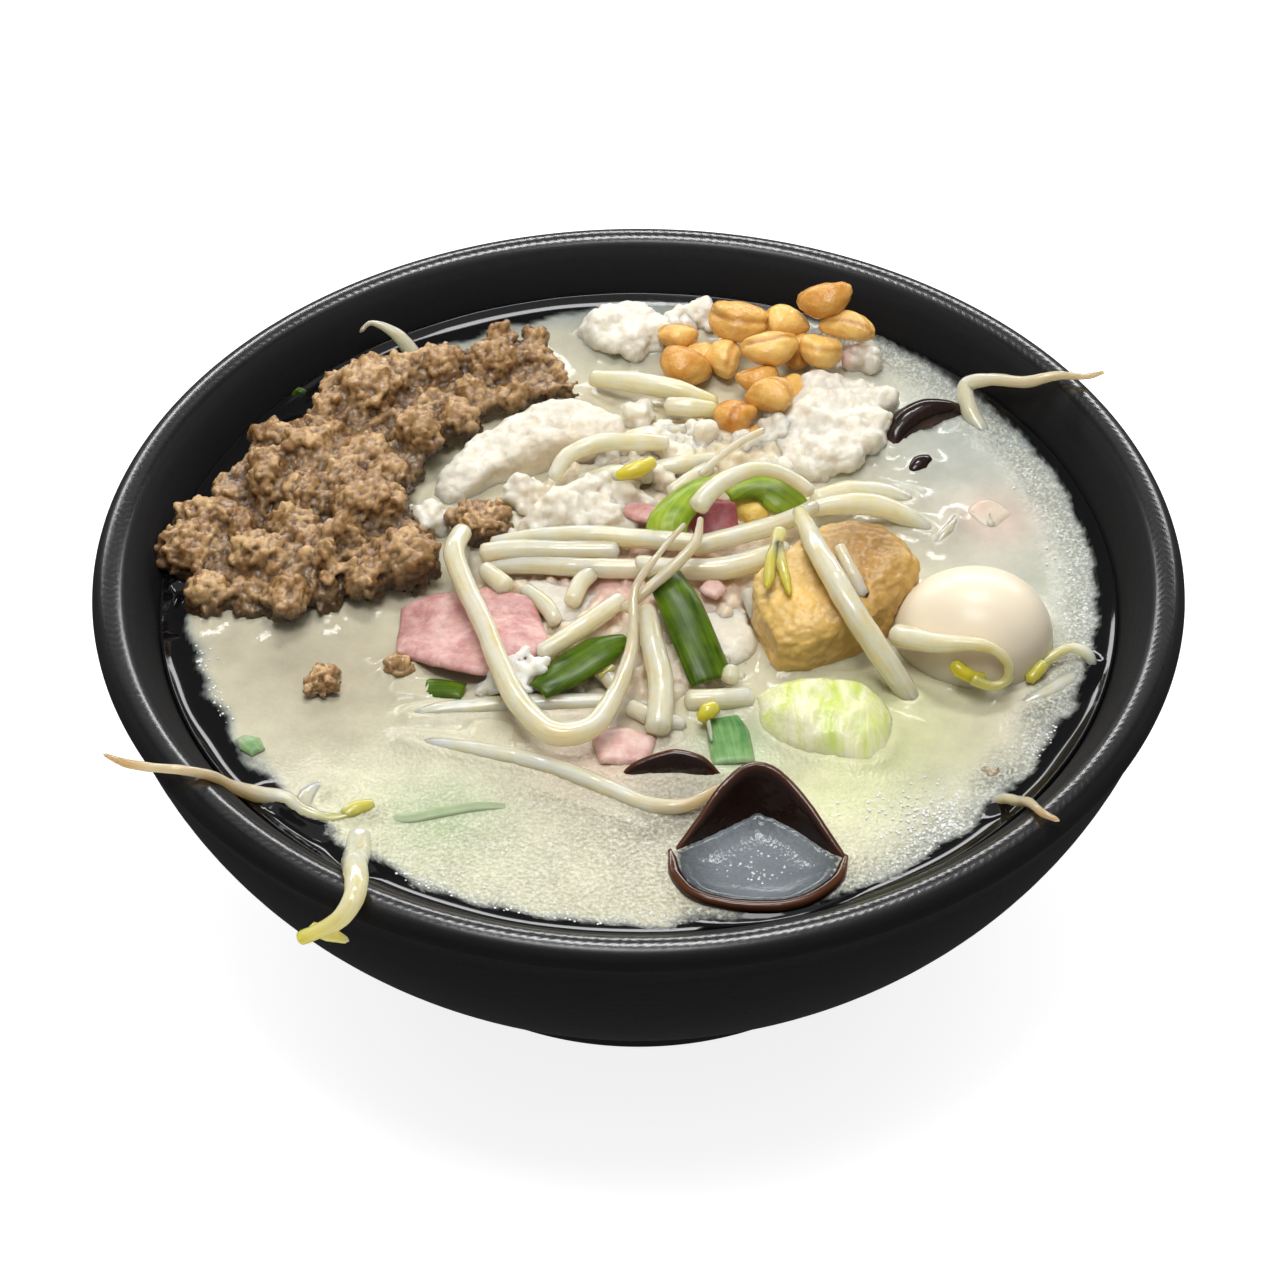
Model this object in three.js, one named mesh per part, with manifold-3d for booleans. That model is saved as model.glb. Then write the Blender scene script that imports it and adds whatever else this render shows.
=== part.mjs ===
// A bowl of fish noodle soup: a black bowl on a foot, pale broth, and the toppings that stand
// out of it. Millimetres, Z up, the foot on z = 0 and the bowl's axis on Z. The front is -Y.
import * as THREE from 'three';
import { mergeVertices } from 'three/addons/utils/BufferGeometryUtils.js';
import Module from 'manifold-3d';

const wasm = await Module();
wasm.setup();

// ---- Driving sizes, mm ----
const BOWL_RADIUS = 105;
const BOWL_HEIGHT = 77;
const LIP_WIDTH = 7.2;        // the thick rounded lip, seen from above
const LIP_DEPTH = 6.4;        // the same lip, seen from the side
const FOOT_RADIUS = 57.6;
const FOOT_HEIGHT = 8.8;
const FOOT_EDGE = 0.8;        // bevel where the foot meets the table
const BODY_START = 60;        // radius of the body where it leaves the foot
const FLOOR_HEIGHT = 10;      // inside bottom of the bowl
const BROTH_LEVEL = 66.5;
const GAP = 0.32;             // clearance between neighbouring pieces
const SHARPEST = 0.45;        // how far a sharp corner may run out when a surface grows
const BOWL_SIDES = 42;
const STRAND_SIDES = 6;
const RING_SPACING = 6.4;     // between the rings of a bent stem
const STEM_END = 0.6;         // width of a stem's end over its width there
const STEM_THINNEST = 0.6;

const HAM_THICKNESS = 2.2;
const LEEK_THICKNESS = 1.1;
const CABBAGE_THICKNESS = 1.6;
const WOOD_EAR_THICKNESS = 1.7;
const EGG_LENGTH = 31;
const EGG_WIDTH = 27.5;
const BEAN_DEPTH = 0.8;       // height of a soybean over its width
const CRUMB_DEPTH = 0.85;     // height of a crumb of minced meat over its width
const CRUMB_UNEVENNESS = 0.22;
const CRUMB_DROP = 0.42;      // from a crumb's top to its centre, over its width

// ---- Solids and meshes ----
// The bare closed surface of a geometry: shared corners merged, faces turned outward.
function surfaceOf(geometry) {
  const bare = new THREE.BufferGeometry();
  bare.setAttribute('position', geometry.getAttribute('position').clone());
  bare.setIndex(geometry.index ? geometry.index.clone() : null);
  const surface = mergeVertices(bare, 1e-4);
  const corners = [];
  let volume = 0;
  for (let i = 0; i < surface.index.count; i += 3) {
    const [a, b, c] = [0, 1, 2].map((k) => surface.index.getX(i + k));
    if (a === b || b === c || c === a) continue;
    corners.push(a, b, c);
    const [pa, pb, pc] = [a, b, c].map((k) => new THREE.Vector3()
      .fromBufferAttribute(surface.getAttribute('position'), k));
    volume += pa.dot(pb.cross(pc));
  }
  surface.setIndex(volume > 0 ? corners : corners.reverse());
  return surface;
}

// The same surface with every face moved outward by about the given distance.
function grown(surface, distance) {
  const result = surface.clone();
  result.computeVertexNormals();
  const position = surface.getAttribute('position');
  const normal = result.getAttribute('normal');
  const steepest = new Array(position.count).fill(1);
  for (let i = 0; i < surface.index.count; i += 3) {
    const corners = [0, 1, 2].map((k) => surface.index.getX(i + k));
    const [a, b, c] = corners.map((k) => new THREE.Vector3().fromBufferAttribute(position, k));
    const face = b.sub(a).cross(c.sub(a)).normalize();
    for (const k of corners) {
      const along = face.dot(new THREE.Vector3().fromBufferAttribute(normal, k));
      steepest[k] = Math.min(steepest[k], along);
    }
  }
  moveVertices(result, (p, i) => {
    const reach = distance / Math.max(steepest[i], SHARPEST);
    p.addScaledVector(new THREE.Vector3().fromBufferAttribute(normal, i), reach);
  });
  return result;
}

function solidOf(surface) {
  return new wasm.Manifold(new wasm.Mesh({
    numProp: 3,
    vertProperties: new Float32Array(surface.getAttribute('position').array),
    triVerts: new Uint32Array(surface.index.array),
  }));
}

function geometryOf(solid) {
  const mesh = solid.getMesh();
  const geometry = new THREE.BufferGeometry();
  geometry.setAttribute('position', new THREE.Float32BufferAttribute(mesh.vertProperties, 3));
  geometry.setIndex(new THREE.Uint32BufferAttribute(mesh.triVerts, 1));
  geometry.computeVertexNormals();
  return geometry;
}

function largestBody(solid) {
  return solid.decompose().reduce((best, body) => (body.volume() > best.volume() ? body : best));
}

function joined(solids) {
  return solids.reduce((sum, solid) => sum.add(solid));
}

function repeatableRandom(seed) {
  let state = seed * 7919 + 17;
  return () => {
    state = (state * 1103515245 + 12345) % 2147483648;
    return state / 2147483648;
  };
}

// Smooth unevenness from a few sine waves; the same seed always gives the same surface.
function unevenness(seed, waveLength) {
  const random = repeatableRandom(seed);
  const waves = Array.from({ length: 4 }, () => ({
    way: new THREE.Vector3(random() - 0.5, random() - 0.5, random() - 0.5).normalize()
      .multiplyScalar((2 * Math.PI / waveLength) * (0.7 + 0.8 * random())),
    start: 2 * Math.PI * random(),
  }));
  return (p) => waves.reduce((sum, w) => sum + Math.sin(p.dot(w.way) + w.start), 0) / waves.length;
}

function moveVertices(geometry, place) {
  const position = geometry.getAttribute('position');
  const p = new THREE.Vector3();
  for (let i = 0; i < position.count; i += 1) {
    place(p.fromBufferAttribute(position, i), i);
    position.setXYZ(i, p.x, p.y, p.z);
  }
  return geometry;
}

function turnedProfile(points, sides) {
  return surfaceOf(new THREE.LatheGeometry(points.map(([r, z]) => new THREE.Vector2(r, z)), sides)
    .rotateX(Math.PI / 2));
}

// ---- The bowl and its broth ----
function bezier(points, pieces) {
  const curve = new THREE.CubicBezierCurve(...points.map(([r, z]) => new THREE.Vector2(r, z)));
  return curve.getPoints(pieces).map((p) => [p.x, p.y]);
}

const lipCentre = [BOWL_RADIUS - LIP_WIDTH / 2, BOWL_HEIGHT - LIP_DEPTH / 2];
const outerWall = bezier([[BODY_START, FOOT_HEIGHT], [68.6, 17.7], [95.9, 34.6], [103.5, 71.4]], 5);
const innerWall = bezier([[97.6, 75.2], [83, 60], [94, 9], [0, FLOOR_HEIGHT]], 6);
const lip = [-0.1, 0.15, 0.35, 0.55, 0.75].map((turn) => [
  lipCentre[0] + (LIP_WIDTH / 2) * Math.cos(turn * Math.PI),
  lipCentre[1] + (LIP_DEPTH / 2) * Math.sin(turn * Math.PI),
]);

const foot = [[0, 0], [FOOT_RADIUS - FOOT_EDGE, 0], [FOOT_RADIUS, FOOT_EDGE],
  [FOOT_RADIUS, FOOT_HEIGHT]];
const bowlSurface = turnedProfile([...foot, ...outerWall, ...lip, ...innerWall], BOWL_SIDES);

// The broth fills the bowl up to its level and stays clear of the wall.
function brothSurface(clearance, height) {
  const wall = [];
  for (let i = innerWall.length - 1; i > 0; i -= 1) {
    const [[r0, z0], [r1, z1]] = [innerWall[i], innerWall[i - 1]];
    const length = Math.hypot(r1 - r0, z1 - z0);
    const inward = [-(z1 - z0) / length, (r1 - r0) / length];
    wall.push([Math.max(r0 + inward[0] * clearance, 0), z0 + inward[1] * clearance]);
    if (z1 > height) {
      const share = (height - z0) / (z1 - z0);
      wall.push([r0 + (r1 - r0) * share - clearance, height]);
      break;
    }
  }
  wall[0] = [0, FLOOR_HEIGHT + clearance];
  return turnedProfile([...wall, [0, height]], BOWL_SIDES);
}

// ---- Makers of the toppings' surfaces ----
const above = ([x, y, lift]) => new THREE.Vector3(x, y, BROTH_LEVEL + lift);

// The width or thickness of a route of [x, y, lift, width], at a share of the way along it.
function widthAlong(route, share) {
  const place = share * (route.length - 1);
  const i = Math.min(route.length - 2, Math.floor(place));
  return THREE.MathUtils.lerp(route[i][3], route[i + 1][3], place - i);
}

// A stem with its own thickness at each point: a turned rod bent along a smooth route.
function strand(route) {
  const curve = new THREE.CatmullRomCurve3(route.map(above), false, 'centripetal');
  const length = curve.getLength();
  const rings = Math.max(5, Math.round(length / RING_SPACING));
  const shareOf = Array.from({ length: rings + 1 }, (_, i) => curve.getUtoTmapping(i / rings));
  const profile = [[0, 0], ...shareOf.map((share, i) => {
    const end = i === 0 || i === rings ? STEM_END : 1;
    return [Math.max(STEM_THINNEST, widthAlong(route, share) * end) / 2, i / rings];
  }), [0, 1]];
  const frames = curve.computeFrenetFrames(rings);
  const geometry = new THREE.LatheGeometry(
    profile.map((p) => new THREE.Vector2(...p)), STRAND_SIDES,
  );
  return surfaceOf(moveVertices(geometry, (p) => {
    const i = Math.round(p.y * rings);
    const cap = p.x === 0 && p.z === 0 ? (p.y === 0 ? -1 : 1) : 0;
    const centre = curve.getPoint(shareOf[i]);
    centre.addScaledVector(frames.tangents[i], cap * widthAlong(route, shareOf[i]) / 4);
    centre.addScaledVector(frames.normals[i], p.x).addScaledVector(frames.binormals[i], p.z);
    p.copy(centre);
  }));
}

// A lump with the given outline from above, from a low to a high level, rounded all over.
function lump(outline, [low, high], options = {}) {
  const { seed = 1, rough = 0.7, fullness = 0.6, slope = [0, 0], sides = 12, rows = 6 } = options;
  const curve = new THREE.CatmullRomCurve3(
    outline.map(([x, y]) => new THREE.Vector3(x, y, 0)), true, 'centripetal',
  );
  const middle = outline.reduce((sum, [x, y]) => sum.add(new THREE.Vector3(x, y, 0)), new THREE.Vector3())
    .divideScalar(outline.length);
  const wave = unevenness(seed, 9);
  const power = (value) => Math.sign(value) * Math.abs(value) ** fullness;
  const geometry = new THREE.SphereGeometry(1, sides, rows).rotateX(Math.PI / 2);
  return surfaceOf(moveVertices(geometry, (p) => {
    const across = Math.hypot(p.x, p.y);
    const share = across < 1e-6 ? 0 : (Math.atan2(p.y, p.x) / (2 * Math.PI) + 1) % 1;
    const edge = curve.getPointAt(Math.min(share, 1)).sub(middle);
    const way = new THREE.Vector3(edge.x, edge.y, 0).normalize().multiplyScalar(power(across));
    const z = power(p.z);
    p.copy(middle).addScaledVector(edge, power(across));
    p.z = BROTH_LEVEL + (low + high) / 2 + z * (high - low) / 2
      + (p.x - middle.x) * slope[0] + (p.y - middle.y) * slope[1];
    const bump = wave(p) * rough;
    p.addScaledVector(way, bump);
    p.z += z * bump * 0.6;
  }));
}

// A thin wavy leaf or slice laid along a route of [x, y, lift, width]; both faces share one grid.
function leaf(route, thickness, options = {}) {
  const { seed = 1, wave = 0.6, curl = 0, lean = 0, columns = 3, rows = 6 } = options;
  const curve = new THREE.CatmullRomCurve3(route.map(above), false, 'centripetal');
  const bend = unevenness(seed, 16);
  const vertices = [];
  const index = [];
  const at = (row, column, face) => ((row * (columns + 1)) + column) * 2 + face;
  for (let row = 0; row <= rows; row += 1) {
    const share = row / rows;
    const tangent = curve.getTangent(share);
    const side = new THREE.Vector3(tangent.y, -tangent.x, 0).normalize()
      .applyAxisAngle(tangent, -THREE.MathUtils.degToRad(lean));
    const normal = new THREE.Vector3().crossVectors(side, tangent).normalize();
    for (let column = 0; column <= columns; column += 1) {
      const across = column / columns - 0.5;
      const point = curve.getPoint(share).addScaledVector(side, across * widthAlong(route, share));
      const lifted = bend(point) * wave + curl * (4 * across * across - 0.5);
      for (const face of [1, -1]) {
        const offset = lifted + face * thickness / 2;
        vertices.push(...point.clone().addScaledVector(normal, offset).toArray());
      }
    }
  }
  const quad = (a, b, c, d) => index.push(a, b, c, a, c, d);
  for (let row = 0; row < rows; row += 1) {
    for (let column = 0; column < columns; column += 1) {
      const corners = [[row, column], [row, column + 1], [row + 1, column + 1], [row + 1, column]];
      const [a, b, c, d] = corners.map(([r, k]) => at(r, k, 0));
      quad(a, b, c, d);
      index.push(a + 1, c + 1, b + 1, a + 1, d + 1, c + 1);
    }
    quad(at(row, 0, 0), at(row + 1, 0, 0), at(row + 1, 0, 1), at(row, 0, 1));
    quad(at(row, columns, 1), at(row + 1, columns, 1), at(row + 1, columns, 0), at(row, columns, 0));
  }
  for (let column = 0; column < columns; column += 1) {
    quad(at(0, column, 1), at(0, column + 1, 1), at(0, column + 1, 0), at(0, column, 0));
    quad(at(rows, column, 0), at(rows, column + 1, 0), at(rows, column + 1, 1), at(rows, column, 1));
  }
  const geometry = new THREE.BufferGeometry();
  geometry.setAttribute('position', new THREE.Float32BufferAttribute(vertices, 3));
  geometry.setIndex(index);
  return surfaceOf(geometry);
}

// An egg-shaped or bean-shaped ball: length along its own turn, width, height, and its centre.
function ball([x, y, lift], [length, width, height], turn, taper = 0, sides = 7, rows = 5) {
  const geometry = new THREE.SphereGeometry(1, sides, rows).rotateX(Math.PI / 2);
  const angle = THREE.MathUtils.degToRad(turn);
  return surfaceOf(moveVertices(geometry, (p) => {
    const narrow = 1 - taper * p.x;
    const along = p.x * length / 2;
    const across = p.y * (width / 2) * narrow;
    p.set(
      x + along * Math.cos(angle) - across * Math.sin(angle),
      y + along * Math.sin(angle) + across * Math.cos(angle),
      BROTH_LEVEL + lift + p.z * (height / 2) * narrow,
    );
  }));
}

// A crumb of minced meat, about as wide as given.
function crumb([x, y, lift], width, seed) {
  const wave = unevenness(seed, width * 0.9);
  const sides = width > 10.5 ? 7 : 6;
  const geometry = new THREE.SphereGeometry(1, sides, sides - 2);
  return surfaceOf(moveVertices(geometry, (p) => {
    const uneven = wave(p.clone().multiplyScalar(width / 2)) * CRUMB_UNEVENNESS;
    const reach = (width / 2) * (1 + uneven);
    p.set(x + p.x * reach, y + p.y * reach, BROTH_LEVEL + lift + p.z * reach * CRUMB_DEPTH);
  }));
}

const COLOURS = {
  bowl: [0x1c1b1d, 0.42], broth: [0xd9d5bf, 0.25], mince: [0x8a6238, 0.6], fish: [0xefe8d8, 0.55],
  soybean: [0xd9953f, 0.35], ham: [0xdca09a, 0.4], leek: [0x4f8a20, 0.4], tofu: [0xdca95a, 0.7],
  egg: [0xefe0c4, 0.35], cabbage: [0xd8e290, 0.4], woodEar: [0x2a1a12, 0.25], sprout: [0xe8dfc4, 0.35],
};

// Every topping in order: an earlier piece keeps its shape, a later one is cut round it.
const toppings = [];
function topping(name, colour, surfaces, { sinks = false } = {}) {
  toppings.push({ name, colour, surfaces, sinks });
}

// The pieces that reach down into the broth; the others rest on its surface.
const sinking = new Set(['sprout_front_rim', 'sprout_right_rim', 'sprout_over_tofu', 'tofu_puff',
  'sprout_right_low', 'sprout_left_rim', 'cabbage', 'wood_ear_small', 'wood_ear_right']);

// ---- Bean sprouts: [x, y, lift above the broth, thickness] ----
const sprouts = {
  sprout_left_rim: [[-98, -55.5, 11.8, 0.7], [-93.7, -58.4, 12.4, 1.6], [-89, -59.9, 12.8, 1.8],
    [-83.1, -60.7, 12.8, 1.8], [-77.9, -59.6, 10.2, 2], [-74.6, -57.9, 6, 2.3],
    [-70.5, -56.6, 2.6, 3.1], [-65, -56.6, 0.8, 3.7], [-61.6, -59.6, 0.5, 3.7],
    [-56, -61.6, 0.8, 2.7], [-52, -60.4, 1.4, 2], [-49.1, -58.4, 1.2, 2.2]],
  sprout_front_rim: [[-50.9, -65, 0.4, 4.7], [-51.1, -70, 1.6, 4.9], [-51, -79.3, 7.8, 4.9],
    [-50.6, -84.2, 11.6, 4.7], [-50, -89.4, 13.6, 4.4], [-50.4, -94.2, 13.8, 3.9],
    [-52.6, -96.6, 11.6, 3.3], [-56.4, -96.2, 8, 2.7], [-60.2, -95, 4.6, 2.6]],
  sprout_right_rim: [[70, 48, 0, 3.2], [67, 53, 2.6, 3.8], [66.5, 58, 5, 3.4], [71, 57, 7.4, 2.6],
    [78, 52, 11, 2.4], [84, 52, 12.6, 2], [90, 53, 11.6, 1.2], [94, 57, 9.4, 0.7]],
  sprout_right_low: [[64.8, -57, 0.6, 1.6], [67.1, -57.5, 2.2, 2], [69.3, -61.3, 5.5, 2],
    [71.2, -66.6, 10.2, 1.8], [73, -70.9, 12, 1.4], [75.9, -72.8, 11.9, 0.8]],
  sprout_back_left: [[-46, 71, 2, 3.7], [-49, 72.5, 6, 2.8], [-52.5, 73.5, 8, 1.7],
    [-55, 73.5, 8.8, 1.1], [-57, 71.5, 8, 0.8]],
  sprout_over_tofu: [[31, 11, 12.6, 2.7], [32, 6, 14, 3.4], [33.9, -2.9, 15.8, 4.3],
    [37.4, -13.4, 16.2, 4.8], [41.4, -20.4, 13, 4.9], [46, -25, 7.8, 4.9], [50, -28, 2.6, 4.4],
    [52.3, -30, -1, 3.6]],
  sprout_loop: [[-34, 9, 9.5, 3.9], [-35.5, 1, 10.6, 4.2], [-33, -8, 10, 4.2], [-29, -19, 9.6, 4.2],
    [-26, -29, 9, 4.4], [-22, -38, 7.6, 4.6], [-15.5, -44.5, 6.4, 4.6], [-9, -43, 6.4, 4.4],
    [-4.5, -36, 8, 3.5], [-1.5, -27, 10.4, 2.5], [-1, -20, 11.6, 2], [-0.5, -12, 13.4, 1.7],
    [4, -5, 16, 1.3], [9, 2, 17.4, 1]],
  sprout_root_over: [[-3, -14, 9.2, 1.9], [2.5, -10, 12, 2.3], [7, -6.5, 14.2, 2.3],
    [11, -1, 15.4, 2], [12, 5, 16.4, 1.2]],
  sprout_arch: [[11, 9, 14.4, 4.3], [14, 13, 16, 3.9], [19, 16.5, 17, 3.5], [24, 19, 16.4, 3],
    [29, 19, 14.6, 2.9], [34, 16.5, 12.2, 2.7]],
  sprout_band_upper: [[9.9, 3.5, 9.6, 3.9], [18.7, 6.1, 10.4, 3.9], [25.1, 8.5, 10.6, 3.9],
    [30.4, 12.2, 10, 3.5], [34.6, 17.2, 8.6, 2.7]],
  sprout_band_lower: [[-1, 1, 7.6, 3.9], [6, -0.6, 8, 4.2], [15, -1.4, 8.6, 4.6],
    [23, 1, 8.8, 4.6], [29, 5, 8.4, 3.9]],
  sprout_band_left: [[-31, 6.5, 5.4, 3.9], [-24, 6.5, 6.4, 4.3], [-15, 5.5, 7, 4.3],
    [-8, 5, 7.4, 4.3], [-3.6, 4.6, 7.8, 3.8]],
  sprout_stub_tofu: [[38.2, -3, 16, 2.5], [40.6, -9, 14.6, 2.7], [42.8, -12.6, 11.4, 2.7]],
  sprout_on_egg: [[48.6, -18, 6.9, 4.8], [52.6, -22.4, 9.5, 4.4], [57, -25, 11, 3.6],
    [61.9, -26.2, 12.1, 2.8], [66.2, -26.6, 11.5, 2.2], [69.7, -27.8, 8.2, 1.9],
    [69.3, -29.4, 5.6, 1.9], [66.4, -30.2, 4.9, 2], [62.4, -29.6, 6.6, 2.6]],
  sprout_edge_right: [[75.4, -23.6, 1.8, 2.3], [78.6, -20.4, 3.2, 2], [82.5, -18.3, 3.6, 2],
    [85.6, -19.2, 2.6, 2.3], [86.6, -20.7, 0.6, 2]],
  sprout_root_back: [[12, 25, 9.6, 1.4], [16, 30, 10, 1.5], [20, 34.5, 10, 1.6], [25, 40, 8.6, 1.4]],
  sprout_on_fish: [[6, 35, 9.4, 3], [0, 33.5, 11, 3.6], [-8, 32, 12, 3.6], [-14, 29, 11, 3.4],
    [-17, 24, 9.4, 2.8]],
  sprout_back: [[-10, 63, 3, 3.3], [0, 58.5, 5.4, 4.5], [8, 56, 5.4, 4.5], [16, 53.5, 4, 2.8]],
  sprout_stub_front: [[1.5, -11, 7.6, 3.6], [2.6, -20, 6.6, 4.6], [4.2, -29, 5, 4.9],
    [3.6, -41, 3, 5]],
  sprout_diagonal: [[-19, -22, 5.2, 3.4], [-10.5, -16, 7, 3.8], [-3, -8, 7, 3.6]],
  sprout_short: [[-13, -9, 6.4, 3.4], [-11, -3, 6.6, 3.5], [-8.6, 0.6, 6, 3.4]],
  sprout_flared: [[-30, 3, 5, 3.2], [-27.4, -1, 5.6, 4], [-25, -4, 5.4, 4.3]],
  sprout_wet_upper: [[-44, -34, -0.3, 2.6], [-38, -32.8, 0.4, 3.8], [-29, -32, 1, 4],
    [-18, -31.4, 1.4, 4], [-5, -31, 1.4, 3.6]],
  sprout_wet_long: [[-45, -40, -0.5, 1.9], [-37, -42, 0.4, 3.4], [-26, -45, 1, 4.1],
    [-15, -49, 1.2, 4.1], [-6, -54, 1.2, 4.1], [2, -58.6, 1.4, 3.7], [9, -59.4, 2.6, 2.5],
    [15.4, -54.6, 2.6, 1.5]],
  sprout_short_right: [[8.6, -31.6, 2.4, 4.4], [14.2, -31.4, 2.4, 4.4], [21.8, -30, 1.6, 4.4]],
};
for (const [name, route] of Object.entries(sprouts)) {
  topping(name, 'sprout', [strand(route)], { sinks: sinking.has(name) });
}

// ---- Leek, ham, cabbage and wood ear: each a route of [x, y, lift, width] ----
const upperLeaves = [
  ['leek_light', 'leek', [[5.1, 5.8, 9.6, 7.6], [5.7, 9.6, 11.6, 8], [9, 15.2, 11.8, 7.4],
    [13.5, 20.7, 10.8, 5.5], [16.3, 23.4, 9.6, 3]], LEEK_THICKNESS, { seed: 3, curl: -1.2 }],
  ['leek_long', 'leek', [[4.8, -5, 10.6, 5], [7.8, -12, 10, 8.4], [10.8, -20, 7.4, 8.6],
    [14, -28, 4.2, 7]], LEEK_THICKNESS, { seed: 5, curl: -1.6 }],
  ['leek_flat', 'leek', [[-19, -31, 4.6, 5], [-13, -25.6, 5.2, 8.6], [-7, -20.8, 5.6, 8],
    [-2.5, -17.6, 5.6, 3]], LEEK_THICKNESS, { seed: 6, curl: -0.8 }],
  ['leek_curl', 'leek', [[17.7, 20.1, 9, 3.5], [22, 21.4, 9.5, 4.5], [25.2, 20.4, 9, 12],
    [28.9, 18.8, 8, 8], [32, 17.2, 7, 2.6]], LEEK_THICKNESS, { seed: 7, lean: 45, wave: 0.3 }],
  ['leek_left', 'leek', [[-46, -27, 0.6, 3], [-40, -27, 1.4, 5], [-33, -28.6, 2, 4]],
    LEEK_THICKNESS, { seed: 8, rows: 4 }],
  ['leek_sunk', 'leek', [[15.7, -34.6, 0.8, 6], [16.8, -39, 0.6, 8], [17.8, -46.6, 0.6, 8]],
    LEEK_THICKNESS, { seed: 9, rows: 4, wave: 0.3 }],
  ['ham_slice', 'ham', [[-46, -12, 2, 12], [-38, -12.4, 3, 21], [-29, -14, 4, 25],
    [-18.5, -11.4, 4, 15]], HAM_THICKNESS, { seed: 11, wave: 1, columns: 4 }],
  ['ham_fold', 'ham', [[11.5, 11.5, 6, 8], [16, 13, 6.5, 10], [20.5, 13.5, 6, 6]], HAM_THICKNESS,
    { seed: 12, lean: 55, curl: 1, rows: 4 }],
];
const lowerLeaves = [
  ['ham_sunk', 'ham', [[-8, -43.5, 0.6, 7], [-3.5, -42.5, 0.9, 10], [2.5, -44, 0.6, 7]],
    HAM_THICKNESS, { seed: 13, rows: 4 }],
  ['cabbage', 'cabbage', [[32, -28.4, 3.4, 16], [31.6, -32, 4.8, 19], [32.6, -37, 4.6, 19.6],
    [34.4, -42, 3, 16], [37, -46.6, 0.6, 6]], CABBAGE_THICKNESS, { seed: 14, wave: 1.2, columns: 5 }],
  ['wood_ear_small', 'woodEar', [[-3, -51, -0.4, 3], [0, -50, 0.8, 5.4], [6.8, -49, 1.8, 7.4],
    [11, -49.6, 1.4, 6.6], [14.4, -50.6, 0, 3.6]], WOOD_EAR_THICKNESS, { seed: 16, lean: -62 }],
  ['wood_ear_right', 'woodEar', [[50.5, 50, 1, 6], [55, 50.4, 3, 9], [60.5, 53.5, 3, 8],
    [65.6, 57.4, 1, 4]], WOOD_EAR_THICKNESS, { seed: 17, lean: -30 }],
  ['wood_ear_bit', 'woodEar', [[53.6, 36, 1, 3.4], [56.6, 38, 1.6, 4.6], [60, 39.6, 1, 3.4]],
    WOOD_EAR_THICKNESS, { seed: 18, rows: 4 }],
];

// ---- Pieces of fish and tofu: outline from above, low and high level ----
const lumps = [
  ['tofu_puff', 'tofu', [[21.4, -5], [26.5, 0], [33, 6], [40, 9], [47, 7.6], [53.3, 0.7],
    [54.3, -4], [51.2, -9.6], [45, -16], [36, -21.6], [27, -23.6], [23.6, -17]], [-3, 13.6],
    { seed: 21, fullness: 0.46, rough: 0.4, sides: 16, rows: 8, slope: [0.03, 0.1] }],
  ['tofu_small', 'tofu', [[18.2, 21.6], [21.6, 24], [25.4, 21], [25.2, 15.4], [20.9, 14.8]],
    [-1, 8], { seed: 22, rough: 0.4 }],
  ['fish_upper_right', 'fish', [[41, 71], [43.6, 75.4], [50.4, 74.6], [51, 69.4], [47.3, 64],
    [42, 66.4]], [-1, 7.6], { seed: 24 }],
  ['fish_right', 'fish', [[26.5, 44], [27, 54], [34, 61], [44, 62.5], [51, 55], [50, 44],
    [44, 36], [36, 31], [29.5, 34.5]], [-3, 7.4], { seed: 25, sides: 16, rough: 1 }],
  ['fish_arch', 'fish', [[-42, 27], [-38, 35], [-29, 43], [-19, 47.5], [-8, 46], [-1, 40.5],
    [-3, 35.6], [-13, 35.5], [-23, 33.5], [-31, 28.5], [-37, 24.5]], [-2, 9.4],
    { seed: 26, sides: 18, slope: [0.12, 0.2], fullness: 0.5 }],
  ['fish_crumb', 'fish', [[-25.5, 24], [-22.5, 28.4], [-18.4, 27], [-17.6, 22], [-21.5, 19.6]],
    [-1, 9], { seed: 27 }],
  ['fish_middle', 'fish', [[-23.6, 14], [-21, 19.5], [-13, 20.5], [-5, 22.5], [0.4, 18],
    [-3, 12.6], [-11, 11.5], [-18.5, 11.2]], [-1, 8.4], { seed: 28, sides: 14 }],
  ['fish_bit', 'fish', [[-45, 17], [-42, 21.6], [-37.8, 21], [-37, 17.6], [-40.6, 14.4]], [-1, 7.4],
    { seed: 29 }],
  ['mince_lump_middle', 'mince', [[-37.2, 19.8], [-33, 21.6], [-27.6, 20.6], [-24.6, 17],
    [-25, 13.9], [-29, 10.7], [-35.6, 13.6]], [-1, 9], { seed: 41, rough: 1.1 }],
  ['fish_front', 'fish', [[-31.6, -29], [-28, -23.6], [-24.6, -19.6], [-19.4, -19], [-15, -23.6],
    [-15.4, -28], [-18.5, -31.4], [-26, -32.6]], [0, 6.6], { seed: 30, slope: [0.1, 0.12] }],
  ['fish_slice', 'fish', [[-23.4, -2], [-20.4, 1.8], [-12.3, 0.4], [-6.4, -3.4], [-6.8, -9.6],
    [-13.1, -12.1], [-19, -7.4]], [-1, 4.6], { seed: 31, sides: 14 }],
  ['fish_slice_round', 'fish', [[11.2, 0], [15, 0], [19.4, -5.6], [23, -12.6], [22.6, -17.6],
    [19, -21.6], [14.4, -20.6], [11.2, -13]], [-1, 4.4], { seed: 32, sides: 14 }],
  ['fish_crumbs', 'fish', [[0.6, 41.6], [2, 46.6], [9, 47.6], [17, 43.8], [17.6, 38.4],
    [10, 35.8], [4, 37]], [-1, 6.4], { seed: 33, rough: 1.2, sides: 14 }],
];

function leafTopping([name, colour, route, thickness, options]) {
  topping(name, colour, [leaf(route, thickness, options)], { sinks: sinking.has(name) });
}

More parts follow.
